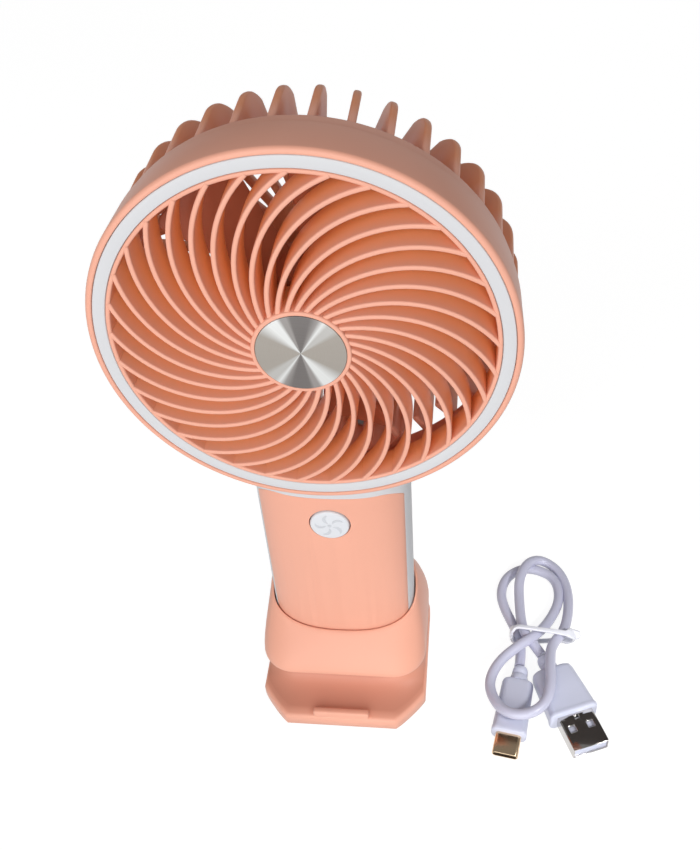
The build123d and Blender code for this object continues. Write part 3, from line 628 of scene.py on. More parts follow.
def soft_jacket(name, tint, rough=0.38, **more):
    """Soft vinyl: a faint sheen of handling and tiny waves along it."""
    recipe = Recipe(f"{name}_looks")
    waves = recipe.noise(260.0, 2.0)
    handled = recipe.noise(70.0, 2.0)
    base = recipe.mix(handled, shade(tint, 0.93), shade(tint, 1.05))
    normal = recipe.bump(waves, 0.05, 0.35)
    return recipe.finish(Base_Color=base, Roughness=rough + (handled - 0.5) * 0.12, Normal=normal, **more)


REST_SHADE = (0.66, 0.29, 0.20)


def make_finishes(colours):
    """Makes the finish of every slot."""
    gloss = {"Coat_Weight": 0.25, "Coat_Roughness": 0.2}

    def body_plastic(name, **more):
        moulded(name, colours.peach, 0.42, 0.03, **more)

    body_plastic("peach_plastic")
    # painted shade: darker copies of the peach, painted between the vanes, over the rear and in the rest's
    # groove
    body_plastic("vane_plastic_painted_shade", deep=colours.deep, depth=between_vanes)
    body_plastic("fin_plastic_painted_shade", deep=colours.fin, depth=over_fins)
    body_plastic("rest_plastic_painted_shade", deep=REST_SHADE, depth=inside_rest)
    # painted shade: the impeller's dark copy of the peach
    moulded("blade_plastic_painted_shade", colours.blade, 0.4, 0.03)
    moulded("sign_plastic", (0.62, 0.64, 0.68), 0.4, 0.02)
    moulded("pale_plastic", colours.pale, 0.45, 0.02)
    moulded("button_plastic", colours.button, 0.35, 0.02, **gloss)
    moulded("pad_rubber", (0.62, 0.30, 0.21), 0.8, 0.08, 2.0)
    spun_metal_painted_reflections()
    plated("screw_steel", (0.55, 0.55, 0.56), 0.3)
    plated("cup_steel", (0.45, 0.45, 0.46), 0.28)
    plated("shaft_steel", (0.66, 0.66, 0.66), 0.18)
    moulded("magnet_ferrite", (0.05, 0.05, 0.052), 0.6, 0.1, 2.0)
    plated("tube_brass", (0.72, 0.55, 0.25), 0.25)
    wound("lamination_steel", (0.33, 0.33, 0.35), 900.0, 0.35, 0.9)
    wound("winding_copper", (0.62, 0.24, 0.09), 1400.0, 0.28, 0.8)
    laminate()
    moulded("switch_black", (0.03, 0.03, 0.034), 0.5, 0.1)
    plated("socket_steel", (0.68, 0.68, 0.69), 0.22)
    moulded("battery_sleeve", (0.08, 0.24, 0.55), 0.3, 0.04, **gloss)
    plated("tab_nickel", (0.68, 0.66, 0.6), 0.3)
    soft_jacket("wire_jacket", (0.55, 0.04, 0.03), 0.45)
    soft_jacket("lead_jacket", colours.cord, 0.36, **gloss)
    soft_jacket("tie_plastic", (0.80, 0.81, 0.88), 0.22, **gloss)
    plated("plug_a_steel", (0.62, 0.60, 0.58), 0.12)
    plated("plug_c_gold", (0.80, 0.60, 0.40), 0.18)
    moulded("grip_plastic", colours.grip, 0.36, 0.02, 0.7, **gloss)


def finish_of(slot):
    """The finish of a slot, made when the scene's first piece asks for one."""
    if not bpy.data.materials.get(f"{slot}_looks"):
        make_finishes(bpy.context.scene.fan_colours)
    return bpy.data.materials[f"{slot}_looks"]


# ---- head

BEZEL = [
    (52.0, -22.1, 1.1), (50.3, -22.1, 0.35), (50.3, -20.3, 0), (47.0, -20.3, 0), (47.0, -18.8, 0),
    (50.1, -18.8, 0), (50.1, -9.6, 0), (51.5, -9.6, 0.25),
]
TRIM = [(50.2, -21.95, 0.3), (47.1, -21.95, 0.3), (47.1, -20.3, 0), (50.2, -20.3, 0)]
LIP = [
    (47.0, -22.0, 0.3), (45.9, -22.0, 0.45), (45.9, -13.5, 0.2), (47.0, -13.5, 0), (47.0, -17.6, 0),
    (49.8, -17.6, 0), (49.8, -18.8, 0), (47.0, -18.8, 0),
]
HUB_RING = [
    (0.0, -23.7, 0), (11.0, -23.7, 0), (11.0, -24.4, 0.15), (12.05, -24.4, 0.45), (12.05, -13.5, 0.2),
    (10.6, -13.5, 0), (10.6, -21.9, 0), (0.0, -21.9, 0),
]
BADGE = [(0.0, -24.45, 0), (10.9, -24.45, 0.12), (10.9, -23.7, 0), (0.0, -23.7, 0)]
BAND = [(50.9, -9.5, 0), (50.9, -5.6, 0.4), (49.3, -5.6, 0.3), (49.3, -9.5, 0)]
SPIGOT = [(50.0, -12.5, 0), (50.0, -9.4, 0), (48.9, -9.4, 0), (48.9, -12.5, 0.2)]
REAR_DISC = [(0.0, 14.2, 0), (18.0, 14.2, 0.3), (18.0, 17.0, 0.9), (0.0, 17.0, 0)]
REAR_BOSS = [(3.6, 6.0, 0), (6.2, 6.0, 0.2), (6.2, 14.2, 0), (3.6, 14.2, 0)]
NECK, NECK_ENDS = (23.0, 13.0), (99.2, 114.0)
# each point is a distance from the axis and a Y
FIN_FRONT = -7.0
FIN_OUTER_BEND = ((50.8, 5.5), (49.2, 12.3), (44.8, 17.0))
FIN_INNER_BEND = ((35.0, 14.2), (41.2, 9.8), (43.7, 4.0))
FIN_FOOT = [(17.0, 17.0), (17.0, 14.2)]
VANE_ARC = 30.1
VANE_CENTRE = 26.9
VANE_BEARING = 93.7
VANE_STEPS = 22


def dome(reach):
    """How far the grille's front falls back at a distance from the axis."""
    out = max(0.0, reach - VANE_REACH[0])
    return DOME_SLOPE * out + DOME_CURVE * out * out


def one_vane(thick):
    """A vane's section, spun along its arc, with its front edge laid back along the dome."""
    towards = math.radians(90.0 - VANE_BEARING)
    cx, cz = VANE_CENTRE * math.cos(towards), VANE_CENTRE * math.sin(towards)

    def angle_at(reach):
        squares = reach**2 - VANE_CENTRE**2 - VANE_ARC**2
        return towards + math.acos(squares / (2 * VANE_CENTRE * VANE_ARC))

    first, last = (angle_at(reach) for reach in VANE_REACH)
    half = thick / 2
    section = eased(
        [(half, VANE_FRONT, 0.42), (half, VANE_REAR, 0), (-half, VANE_REAR, 0), (-half, VANE_FRONT, 0.42)], 3
    )
    out_x, out_z = math.cos(first), math.sin(first)
    line = [(cx + (VANE_ARC + u) * out_x, y, HEAD_Z + cz + (VANE_ARC + u) * out_z) for u, y in section]
    piece = outline("vane", line)
    centre = Vector((cx, 0, HEAD_Z + cz)) * MM
    bpy.ops.mesh.spin(steps=VANE_STEPS, angle=last - first, center=centre, axis=ALONG_Y)
    step = (last - first) / VANE_STEPS
    for i in range(VANE_STEPS + 1):
        bearing = first + i * step
        along = Vector((math.cos(bearing), math.sin(bearing)))
        reach = (Vector((cx, cz)) + along * VANE_ARC).length

        def in_row(vertex):
            out = Vector((vertex.co.x - centre.x, vertex.co.z - centre.z))
            return vertex.co.y < -20 * MM and abs(out.angle(along)) < abs(step) / 2

        pick("VERT", in_row)
        bpy.ops.transform.translate(value=(0, dome(reach) * MM, 0))
    outwards()
    leave()
    return piece


class FAN_OT_grille(bpy.types.Operator):
    """Builds the front grille: its lip, its hub ring and the curved vanes between them"""

    bl_idname = "fan.grille"
    bl_label = "Front Grille"

    def execute(self, context):
        sizes = context.scene.fan_sizes
        vanes = repeated(one_vane(sizes.vane_thick / MM), sizes.vane_count)
        lip = turned("lip", eased(LIP, 3), 180)
        hub = turned("hub_ring", eased(HUB_RING, 4), 96)
        grille = joined("grille", vanes, lip, hub)
        finished(grille, "fan_body", "peach_plastic", ["front_grille"], finish="vane_plastic_painted_shade")
        return {"FINISHED"}


class FAN_OT_rim(bpy.types.Operator):
    """Builds the head's outer rim, its flat trim ring and the badge at the hub"""

    bl_idname = "fan.rim"
    bl_label = "Rim, Trim and Badge"

    def execute(self, context):
        for name, profile, ease, steps, slot, node in (
            ("rim", BEZEL, 5, 240, "peach_plastic", "front_bezel"),
            ("trim", TRIM, 3, 240, "pale_plastic", "trim_ring"),
            ("badge", BADGE, 3, 128, "badge_steel", "hub_badge"),
        ):
            finished(turned(name, eased(profile, ease), steps), "fan_body", slot, [node])
        return {"FINISHED"}


def one_fin(thick):
    """A fin: a plate along the head's side that bends round into a rib across the rear."""
    side = [(50.8, FIN_FRONT)] + arc(*FIN_OUTER_BEND, 9)
    profile = side + FIN_FOOT + arc(*FIN_INNER_BEND, 7) + [(43.7, FIN_FRONT)]
    points = [(-thick / 2, y, HEAD_Z + radius) for radius, y in profile]
    return rounded_edges(sheet_cut("fin", points, (thick, 0, 0)), 0.7, 3, 50.0)


class FAN_OT_rear(bpy.types.Operator):
    """Builds the rear of the head: its band, its fins, the disc they meet at and the neck below"""

    bl_idname = "fan.rear"
    bl_label = "Rear Shell"

    def execute(self, context):
        sizes = context.scene.fan_sizes
        fins = repeated(one_fin(sizes.fin_thick / MM), sizes.fin_count, 5.0)
        rounds = [
            turned(name, eased(profile, ease), steps)
            for name, profile, ease, steps in (
                ("band", BAND, 3, 200), ("spigot", SPIGOT, 2, 160),
                ("disc", REAR_DISC, 4, 96), ("boss", REAR_BOSS, 2, 48),
            )
        ]
        neck = skinned("neck", [lambda z=z: add_oval(*NECK, z) for z in NECK_ENDS])
        collar = turned("collar", [(52.2, -9.5), (52.2, 17.0), (47.5, 17.0), (47.5, -9.5)], 160)
        neck = rounded_edges(cut(neck, collar, "INTERSECT"), 0.3, 2)
        rear = joined("rear_cage", fins, *rounds, neck)
        finished(rear, "fan_body", "peach_plastic", ["rear_shell"], finish="fin_plastic_painted_shade")
        return {"FINISHED"}


IMPELLER_HUB = [
    (0.0, -11.5, 0), (13.6, -11.5, 1.8), (13.6, 3.5, 0.2), (12.5, 3.5, 0), (12.5, -8.6, 0), (1.05, -8.6, 0),
    (1.05, -9.5, 0), (0.0, -9.5, 0),
]
BLADES = 7
BLADE_ROOT_R, BLADE_TIP_R = 12.8, 41.6
BLADE_CHORD = (11.5, 24.5)
BLADE_PITCH = (50.0, 28.0)
BLADE_ROWS = 8


def one_blade():
    """A thin twisted blade: its root edge drawn out to the tip, turning and widening row by row."""
    mid_y = -3.0
    root = HEAD_Z + BLADE_ROOT_R
    half = BLADE_CHORD[0] / 2
    piece = outline("blade", [(-half + half * k / 2, mid_y, root) for k in range(5)], closed=False)
    axis = Vector((0, mid_y, 0)) * MM
    bpy.ops.transform.rotate(value=-math.radians(BLADE_PITCH[0]), orient_axis="Z", center_override=axis)
    rise = (BLADE_TIP_R - BLADE_ROOT_R) / BLADE_ROWS
    turn = math.radians(BLADE_PITCH[0] - BLADE_PITCH[1]) / BLADE_ROWS
    grow = (BLADE_CHORD[1] / BLADE_CHORD[0]) ** (1 / BLADE_ROWS)
    for _ in range(BLADE_ROWS):
        bpy.ops.mesh.extrude_region_move(TRANSFORM_OT_translate={"value": (0, 0, rise * MM)})
        bpy.ops.transform.rotate(value=turn, orient_axis="Z", center_override=axis)
        bpy.ops.transform.resize(value=(grow, grow, 1.0), center_override=axis)
    top = (HEAD_Z + BLADE_TIP_R - 0.1) * MM
    reach = BLADE_CHORD[1] / 2 * math.cos(math.radians(BLADE_PITCH[1])) - 0.4
    pick("VERT", lambda vertex: vertex.co.z > top and abs(vertex.co.x) > reach * MM)
    bpy.ops.mesh.bevel(offset=3.2 * MM, segments=6, affect="VERTICES")
    leave()
    apply(piece, "SOLIDIFY", thickness=1.3 * MM, offset=0.0)
    return rounded_edges(piece, 0.35, 2, 50.0)


class FAN_OT_impeller(bpy.types.Operator):
    """Builds the impeller: a hub over the motor and its twisted blades"""

    bl_idname = "fan.impeller"
    bl_label = "Impeller"

    def execute(self, context):
        blades = repeated(one_blade(), BLADES, 12.0)
        hub = turned("hub", eased(IMPELLER_HUB, 4), 96)
        wheel = joined("blades", blades, hub)
        finished(wheel, "impeller", "peach_plastic", ["impeller"], finish="blade_plastic_painted_shade")
        return {"FINISHED"}


# ---- handle

BUTTON_Z = 81.4
BUTTON_CAP = [(0.0, -13.5, 0), (5.8, -13.5, 0.7), (5.8, -10.5, 0), (0.0, -10.5, 0)]
BUTTON_SKIRT = [(0.0, -10.6), (6.8, -10.6), (6.8, -9.7), (0.0, -9.7)]
SIGN_FRONT = -13.62
SIGN_DOT = [(0.0, SIGN_FRONT), (0.55, SIGN_FRONT), (0.62, -13.45), (0.0, -13.45)]
PETALS = 5
PETAL_OUTER = ((1.0, 0.3), (3.0, 1.75), (4.4, 0.0))
PETAL_INNER = ((4.4, 0.0), (3.05, 0.75), (1.0, 0.3))


class FAN_OT_handle(bpy.types.Operator):
    """Builds the handle's two panels and the pale frame that shows between them"""

    bl_idname = "fan.handle"
    bl_label = "Handle"

    def execute(self, context):
        for node, slot, edge in (
            ("handle_front_panel", "peach_plastic", 0.4),
            ("handle_rear_panel", "peach_plastic", 0.4),
            ("handle_frame", "pale_plastic", 0.0),
        ):
            piece = copied(node, f"{node}_shell", edge, 3)
            finished(piece, "fan_body", slot, [node], 30.0)
        return {"FINISHED"}


class FAN_OT_button(bpy.types.Operator):
    """Builds the button and the five raised petals of the fan sign on its cap"""

    bl_idname = "fan.button"
    bl_label = "Power Button"

    def execute(self, context):
        cap = turned("cap", eased(BUTTON_CAP, 5), 72, BUTTON_Z)
        skirt = turned("skirt", BUTTON_SKIRT, 72, BUTTON_Z)
        button = joined("button", cap, skirt)
        finished(button, "power_button", "button_plastic", ["power_button"])
        petals = [self.petal(i) for i in range(PETALS)]
        dot = turned("dot", SIGN_DOT, 24, BUTTON_Z)
        sign = joined("button_sign", dot, *petals)
        finished(sign, "power_button", "button_plastic", finish="sign_plastic")
        return {"FINISHED"}

    @staticmethod
    def petal(number):
        """One petal: a short hooked leaf standing a little proud of the cap."""
        outer = arc(*PETAL_OUTER, 8)
        inner = arc(*PETAL_INNER, 6)[1:-1]
        turn = TURN * number / PETALS + 0.4
        points = []
        for u, v in outer + inner:
            x = u * math.cos(turn) - v * math.sin(turn)
            z = u * math.sin(turn) + v * math.cos(turn)
            points.append((x, SIGN_FRONT, BUTTON_Z + z))
        return rounded_edges(sheet_cut("petal", points, (0, 0.2, 0)), 0.06, 2)


# ---- stand

LEDGE_CUT = (9.0, 10.9)
REST = [
    # height, front face, how far the corners have turned from the ledge's cut to the brow's round
    (5.6, -29.5, 0.0), (5.64, -27.5, 0.1), (5.8, -25.2, 0.25), (6.05, -23.1, 0.38), (6.5, -21.0, 0.5),
    (7.1, -19.2, 0.6), (8.0, -17.6, 0.72), (9.4, -16.3, 0.84), (11.0, -15.9, 0.92), (12.6, -16.2, 0.97),
    (14.0, -17.0, 1.0), (15.2, -18.2, 1.0), (16.1, -19.6, 1.0), (16.7, -20.9, 1.0),
]
SHOULDERS = [
    # height at the front, slope, half width, front face, rear face, corner cuts, corner power
    (17.0, 0, 27.0, -21.5, 22.5, 11.0, 11.0, 2.0), (17.5, 0, 27.05, -21.6, 22.5, 11.1, 11.1, 2.0),
    (19.2, 2, 27.0, -21.35, 22.4, 11.5, 11.3, 2.0), (21.6, 5, 26.8, -20.6, 21.9, 12.5, 12.0, 2.0),
    (24.0, 9, 26.4, -19.5, 20.9, 14.0, 12.5, 2.0), (26.4, 14, 25.8, -18.1, 19.3, 16.0, 13.0, 2.1),
    (28.3, 19, 25.15, -16.7, 17.4, 19.0, 13.5, 2.2), (29.6, 23, 24.6, -15.5, 15.9, 21.5, 13.9, 2.35),
    (30.3, 25.5, 24.25, -14.65, 14.9, 23.0, 14.1, 2.45), (30.6, 27, 24.05, -14.1, 14.3, 23.9, 14.1, 2.5),
]
COLLAR_FRONT_Z, COLLAR_SLOPE = 30.6, 27.0
COLLAR_FRONT_Y = -13.0
STAND_CORNER_STEPS = 12
LEDGE_HALF, LEDGE_FRONT, LEDGE_REAR = 27.2, -30.6, 24.0
LEDGE_LEVELS = [(0.4, 0.6), (0.6, 0.15), (0.9, 0.0), (4.5, 0.0), (5.05, 0.16), (5.42, 0.5)]
# from the ledge's values to the brow's
REST_HALF, REST_REAR, REST_CUTS = (26.25, 27.0), (23.05, 22.5), ((9.0, 11.0), (10.9, 11.0))
REST_REAR_CORNER, REST_POWER = (9.0, 11.0), (1.12, 2.0)
LIP_HALF, LIP_MIDDLE = (9.25, 1.2, 2.5), (0, -29.1, 5.2)
WELL = (23.4, 13.4)


def add_stand_loop(z, half, front, rear, cuts, power, rear_corner):
    """Adds one level of the stand: cut or round front corners, and round rear ones."""
    cut_x, cut_y = cuts
    squeeze = cut_x / cut_y
    mid = Vector((0, (front + rear) / 2, z)) * MM
    depth = (rear - front) / 2
    bpy.ops.mesh.primitive_plane_add(size=2 * MM, location=mid)
    bpy.ops.transform.resize(value=(half, depth * squeeze, 1), center_override=mid)
    keep(lambda vertex: vertex.co.y < mid.y)
    round_corners(cut_x, STAND_CORNER_STEPS, power)
    bpy.ops.mesh.select_linked()
    bpy.ops.transform.resize(value=(1, 1 / squeeze, 1), center_override=mid)
    keep(lambda vertex: vertex.co.y > (rear - 0.01) * MM)
    round_corners(rear_corner, STAND_CORNER_STEPS)
    bpy.ops.mesh.select_linked()


def add_shoulder_loop(z, slope, half, front, rear, cut_x, cut_y, power):
    """Adds one level of the shoulders, with four like corners, tipped up towards the rear."""
    squeeze = cut_x / cut_y
    mid = Vector((0, (front + rear) / 2, z)) * MM
    hinge = Vector((0, COLLAR_FRONT_Y, z)) * MM
    bpy.ops.mesh.primitive_plane_add(size=2 * MM, location=mid)
    bpy.ops.transform.resize(value=(half, (rear - front) / 2 * squeeze, 1), center_override=mid)
    round_corners(cut_x, STAND_CORNER_STEPS, power)
    bpy.ops.transform.resize(value=(1, 1 / squeeze, 1), center_override=mid)
    lean = math.radians(slope)
    bpy.ops.transform.resize(value=(1, 1 / math.cos(lean), 1), center_override=hinge)
    bpy.ops.transform.rotate(value=-lean, orient_axis="X", center_override=hinge)


def stand_levels():
    """The stand's levels from its foot to its collar."""

    def ledge(z, inset):
        cuts = (LEDGE_CUT[0] + 0.1, LEDGE_CUT[1] + 0.1)
        sides = (LEDGE_HALF - inset, LEDGE_FRONT + inset, LEDGE_REAR - inset)
        return lambda: add_stand_loop(z, *sides, cuts, REST_POWER[0], REST_REAR_CORNER[0])

    def rest(z, front, turn):
        def between(low, high):
            return low + (high - low) * turn

        half, rear, power = between(*REST_HALF), between(*REST_REAR), between(*REST_POWER)
        cuts = tuple(between(*ends) for ends in REST_CUTS)
        return lambda: add_stand_loop(z, half, front, rear, cuts, power, between(*REST_REAR_CORNER))

    levels = [ledge(*row) for row in LEDGE_LEVELS] + [rest(*row) for row in REST]
    levels += [lambda row=row: add_shoulder_loop(*row) for row in SHOULDERS]
    return levels


class FAN_OT_stand(bpy.types.Operator):
    """Builds the stand: ledge, groove, brow, shoulders and the collar round the handle"""

    bl_idname = "fan.stand"
    bl_label = "Stand"

    def execute(self, context):
        body = skinned("stand", stand_levels())
        well = skinned("well", [lambda z=z: add_oval(*WELL, z) for z in (5.0, 60.0)])
        cut(body, well)
        self.round_collar(body)
        lip = rounded_edges(boxed("lip_stop", LIP_HALF, LIP_MIDDLE), 0.7, 3)
        body = joined("stand_body", body, lip)
        finished(body, "stand", "peach_plastic", ["stand_shell"], 40.0, finish="rest_plastic_painted_shade")
        return {"FINISHED"}

    @staticmethod
    def round_collar(body):
        """Rounds the two edges of the collar's sloping top."""
        slope = math.radians(COLLAR_SLOPE)
        normal = Vector((0, -math.sin(slope), math.cos(slope)))
        foot = Vector((0, COLLAR_FRONT_Y, COLLAR_FRONT_Z)) * MM
        take(body)
        edit()
        weld(0.01)
        pick("FACE", lambda face: all(abs((v.co - foot).dot(normal)) < 0.02 * MM for v in face.verts))
        bpy.ops.mesh.region_to_loop()
        bpy.ops.mesh.bevel(offset=0.22 * MM, segments=3, profile=0.5, affect="EDGES")
        leave()


# ---- charging lead

PLUG_A = {"tip": (80.5, -35.6, 4.0), "heading": -67.4}
PLUG_C = {"tip": (53.3, -39.2, 3.25), "heading": -99.8}
ROUTE = [
    (58.5, -5.7, 3.2), (59.6, 3.1, 2.0), (57.6, 10.1, 2.0), (53.1, 20.5, 2.0), (52.3, 27.3, 2.0),
    (54.6, 33.8, 2.0), (59.7, 37.7, 2.0), (65.3, 38.0, 2.0), (72.4, 34.0, 2.0), (73.6, 23.7, 2.0),
    (68.2, 11.9, 3.0), (62.6, 4.3, 6.0), (58.8, 0.9, 7.0), (52.0, -5.7, 7.0), (48.5, -12.5, 6.5),
    (48.5, -18.4, 6.5), (51.9, -25.8, 8.5), (57.2, -28.3, 9.5), (62.6, -27.1, 10.0), (66.6, -22.9, 10.0),
    (68.3, -16.2, 10.0), (68.3, -6.7, 9.0), (69.2, 1.5, 6.5), (74.7, 9.6, 4.5), (76.9, 25.2, 2.0),
    (74.7, 36.3, 2.0), (68.2, 42.5, 2.0), (62.4, 39.1, 5.2), (58.8, 30.9, 5.4), (58.7, 21.3, 4.5),
    (59.5, 8.0, 5.5), (63.2, 3.2, 4.5), (66.1, -1.2, 4.0),
]
# each box: half sizes, middle
PLUG_A_SHELL = ((6.0, 2.25, 6.2), (0, 0, -6.2))
PLUG_A_OPENINGS = (
    ("window", (1.15, 3.0, 1.15), (-3.1, 0, -7.3)),
    ("window", (1.15, 3.0, 1.15), (3.1, 0, -7.3)),
    ("catch", (0.8, 3.0, 0.35), (0, 1.5, -11.0)),
)
PLUG_A_CORE = ((5.6, 1.5, 5.0), (0, -0.35, -5.45))
PLUG_C_CORE = ((3.2, 0.36, 2.6), (0, 0, -3.6))
# place, half width, half thickness
PLUG_C_SHELL = [(0.0, 4.02, 1.12), (-0.15, 4.15, 1.25), (-7.6, 4.15, 1.25)]
# each grip's rows: place, half width, half thickness, corner; each relief's rows: place, half width
PLUG_A_GRIP = [
    (-12.4, 7.7, 3.4, 1.6), (-12.5, 8.05, 3.75, 1.8), (-12.8, 8.25, 3.95, 2.0), (-13.7, 8.25, 3.97, 2.0),
    (-14.1, 8.1, 3.85, 2.0), (-14.6, 8.0, 3.8, 2.1), (-21.0, 7.6, 3.95, 2.4), (-28.6, 7.05, 3.8, 2.5),
    (-29.8, 6.8, 3.5, 2.6), (-30.4, 6.1, 2.9, 2.5),
]
PLUG_A_RELIEF = [
    (-30.0, 3.1), (-32.0, 3.0), (-32.4, 2.7), (-32.8, 2.5), (-33.1, 2.5), (-33.4, 2.75), (-34.8, 2.7),
    (-35.6, 2.5), (-36.2, 2.1),
]
PLUG_C_GRIP = [
    (-7.4, 5.2, 2.7, 1.8), (-7.55, 5.5, 2.95, 2.0), (-7.9, 5.7, 3.1, 2.1), (-8.8, 5.7, 3.15, 2.1),
    (-9.4, 5.6, 3.1, 2.2), (-16.0, 5.45, 3.22, 2.4), (-26.2, 5.25, 3.1, 2.5), (-27.3, 5.0, 2.8, 2.5),
    (-27.9, 4.3, 2.3, 2.2),
]
PLUG_C_RELIEF = [
    (-27.6, 2.95), (-29.4, 2.9), (-29.8, 2.6), (-30.1, 2.4), (-30.4, 2.4), (-30.7, 2.65), (-32.2, 2.55),
    (-32.9, 2.3), (-33.3, 2.0),
]
TIE_MIDDLE = Vector((66, 6.2, 5)) * MM
TIE_PATH = [(55.2, 1.2, 3.4), (77.6, 0.9, 3.6), (77.6, 9.0, 3.4), (55.2, 9.2, 3.6)]
TIE_FRONT, TIE_WIDTH, TIE_THICK = 5.4, 1.7, 1.1
TIE_FLARE, TIE_FLARE_OUTSIDE = 1.7, (56.5, 74.5)
TIE_TWIST, TIE_FOLD_TURNS = 38, (-62, 35)
TIE_FOLD_PLACE = Vector((79.3, 6.6, 5.2)) * MM
# half width, half thickness, place along the folded end
TIE_FOLD = [
    (0.7, 0.35, 0.0), (1.5, 0.7, 0.5), (1.8, 0.9, 1.8), (1.3, 0.7, 3.4), (1.7, 0.6, 4.8), (1.1, 0.4, 5.6),
]


def plug_matrix(tip, heading):
    """Puts a plug modelled pointing up Z at its tip, lying flat and pointing along its heading."""
    turn = math.radians(heading)
    out = Vector((math.cos(turn), math.sin(turn), 0))
    side = Vector((-out.y, out.x, 0))
    matrix = Matrix((side, Vector((0, 0, 1)), out)).transposed().to_4x4()
    matrix.translation = Vector(tip) * MM
    return matrix


def moulded_grip(name, rows, relief):
    """A grip from rows of (place, half width, half thickness, corner), with a short ribbed strain relief."""
    body = skinned(name, [lambda row=row: add_loop(row[1], row[2], (0, 0, row[0]), row[3]) for row in rows])
    sleeve = skinned(
        "sleeve", [lambda row=row: add_loop(row[1], row[1], (0, 0, row[0]), row[1] * 0.99) for row in relief]
    )
    return joined(name, body, sleeve)


def hollowed(piece, top, inset, depth):
    """Sinks the face that lies at a height, inside a rim."""
    take(piece)
    edit()
    pick("FACE", lambda face: all(abs(v.co.z - top * MM) < 0.001 * MM for v in face.verts))
    bpy.ops.mesh.inset(thickness=inset * MM, depth=0)
    bpy.ops.mesh.extrude_region_move(TRANSFORM_OT_translate={"value": (0, 0, -depth * MM)})
    leave()
    return piece


def on_lead(piece, matrix, slot, nodes=(), angle=35.0):
    finished(placed(piece, matrix), "charging_lead", slot, nodes, angle)


class FAN_OT_plugs(bpy.types.Operator):
    """Builds the lead's two plugs: the wide flat one and the small oval one"""

    bl_idname = "fan.plugs"
    bl_label = "Plugs"

    def execute(self, context):
        self.wide_plug(plug_matrix(**PLUG_A))
        self.oval_plug(plug_matrix(**PLUG_C))
        return {"FINISHED"}

    @staticmethod
    def wide_plug(matrix):
        shell = boxed("plug_a_metal", *PLUG_A_SHELL)
        hollowed(shell, 0.0, 0.32, 6.0)
        for opening in PLUG_A_OPENINGS:
            cut(shell, boxed(*opening))
        rounded_edges(shell, 0.22, 3)
        on_lead(shell, matrix, "plug_a_steel", ["plug_a_shell"])
        core = rounded_edges(boxed("plug_a_core", *PLUG_A_CORE), 0.2, 2)
        on_lead(core, matrix, "grip_plastic")
        grip = moulded_grip("plug_a_handle", PLUG_A_GRIP, PLUG_A_RELIEF)
        on_lead(grip, matrix, "grip_plastic", ["plug_a_grip"], 50.0)

    @staticmethod
    def oval_plug(matrix):
        shell = skinned(
            "plug_c_metal",
            [lambda z=z, a=a, b=b: add_loop(a, b, (0, 0, z), b * 0.98, segments=10) for z, a, b in PLUG_C_SHELL],
        )
        hollowed(shell, 0.0, 0.26, 6.2)
        on_lead(shell, matrix, "plug_c_gold", ["plug_c_shell"], 45.0)
        core = rounded_edges(boxed("plug_c_core", *PLUG_C_CORE), 0.1, 2)
        on_lead(core, matrix, "switch_black")
        grip = moulded_grip("plug_c_handle", PLUG_C_GRIP, PLUG_C_RELIEF)
        on_lead(grip, matrix, "grip_plastic", ["plug_c_grip"], 50.0)


class FAN_OT_cord(bpy.types.Operator):
    """Builds the lead's cord, looped loosely and held at its waist by a flat plastic tie"""

    bl_idname = "fan.cord"
    bl_label = "Cord and Tie"

    def execute(self, context):
        thick = context.scene.fan_sizes.cord_thick
        line = bpy.data.curves.new("cord", "CURVE")
        line.dimensions = "3D"
        spline = line.splines.new("NURBS")
        spline.points.add(len(ROUTE) - 1)
        for point, place in zip(spline.points, ROUTE):
            point.co = (*(Vector(place) * MM), 1.0)
        spline.order_u = 3
        spline.use_endpoint_u = True
        spline.resolution_u = 10
        line.bevel_depth = thick / 2
        line.bevel_resolution = 7
        line.use_fill_caps = True
        cord = bpy.data.objects.new("cord", line)
        context.scene.collection.objects.link(cord)
        line.materials.append(finish_of("lead_jacket"))
        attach(cord, "charging_lead")
        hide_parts("lead_hank")
        tie = self.tie()
        finished(tie, "charging_lead", "tie_plastic", ["cord_tie"], 60.0)
        return {"FINISHED"}

    @staticmethod
    def tie():
        """A soft strip round the bundle, twisted a little, with its two ends folded together at one side."""
        band = outline("tie", [(x, TIE_FRONT, z) for x, z in eased(TIE_PATH, 7)])
        bpy.ops.mesh.extrude_region_move(TRANSFORM_OT_translate={"value": (0, TIE_WIDTH * MM, 0)})
        low, high = TIE_FLARE_OUTSIDE
        pick("VERT", lambda v: v.co.x > high * MM or v.co.x < low * MM)
        bpy.ops.transform.resize(value=(1.0, TIE_FLARE, 1.0), center_override=TIE_MIDDLE)
        outwards()
        bpy.ops.transform.translate(value=-TIE_MIDDLE)
        leave()
        apply(band, "SIMPLE_DEFORM", deform_method="TWIST", deform_axis="X", angle=math.radians(TIE_TWIST))
        apply(band, "SOLIDIFY", thickness=TIE_THICK * MM, offset=-1.0)
        take(band)
        edit()
        bpy.ops.transform.translate(value=TIE_MIDDLE)
        leave()
        fold = skinned(
            "fold",
            [lambda a=a, b=b, z=z: add_loop(a, b, (0, 0, z), b * 0.9, segments=4) for a, b, z in TIE_FOLD],
        )
        over, about = (math.radians(turn) for turn in TIE_FOLD_TURNS)
        lean = Matrix.Rotation(over, 4, "Y") @ Matrix.Rotation(about, 4, "Z")
        lean.translation = TIE_FOLD_PLACE
        placed(fold, lean)
        whole = joined("tie", rounded_edges(band, 0.4, 3), fold)
        apply(whole, "SUBSURF", levels=1, render_levels=1)
        return whole


# ---- what stays as packed


class FAN_OT_works(bpy.types.Operator):
    """Gives the motor, the boards, the battery and the other inner parts their finishes"""

    bl_idname = "fan.works"
    bl_label = "Inner Works"

    def execute(self, context):
        for node, piece in frame["nodes"].items():
            slot = SLOT_OF[node]
            piece.data.materials.clear()
            piece.data.materials.append(finish_of(slot))
        return {"FINISHED"}


# ---- stage

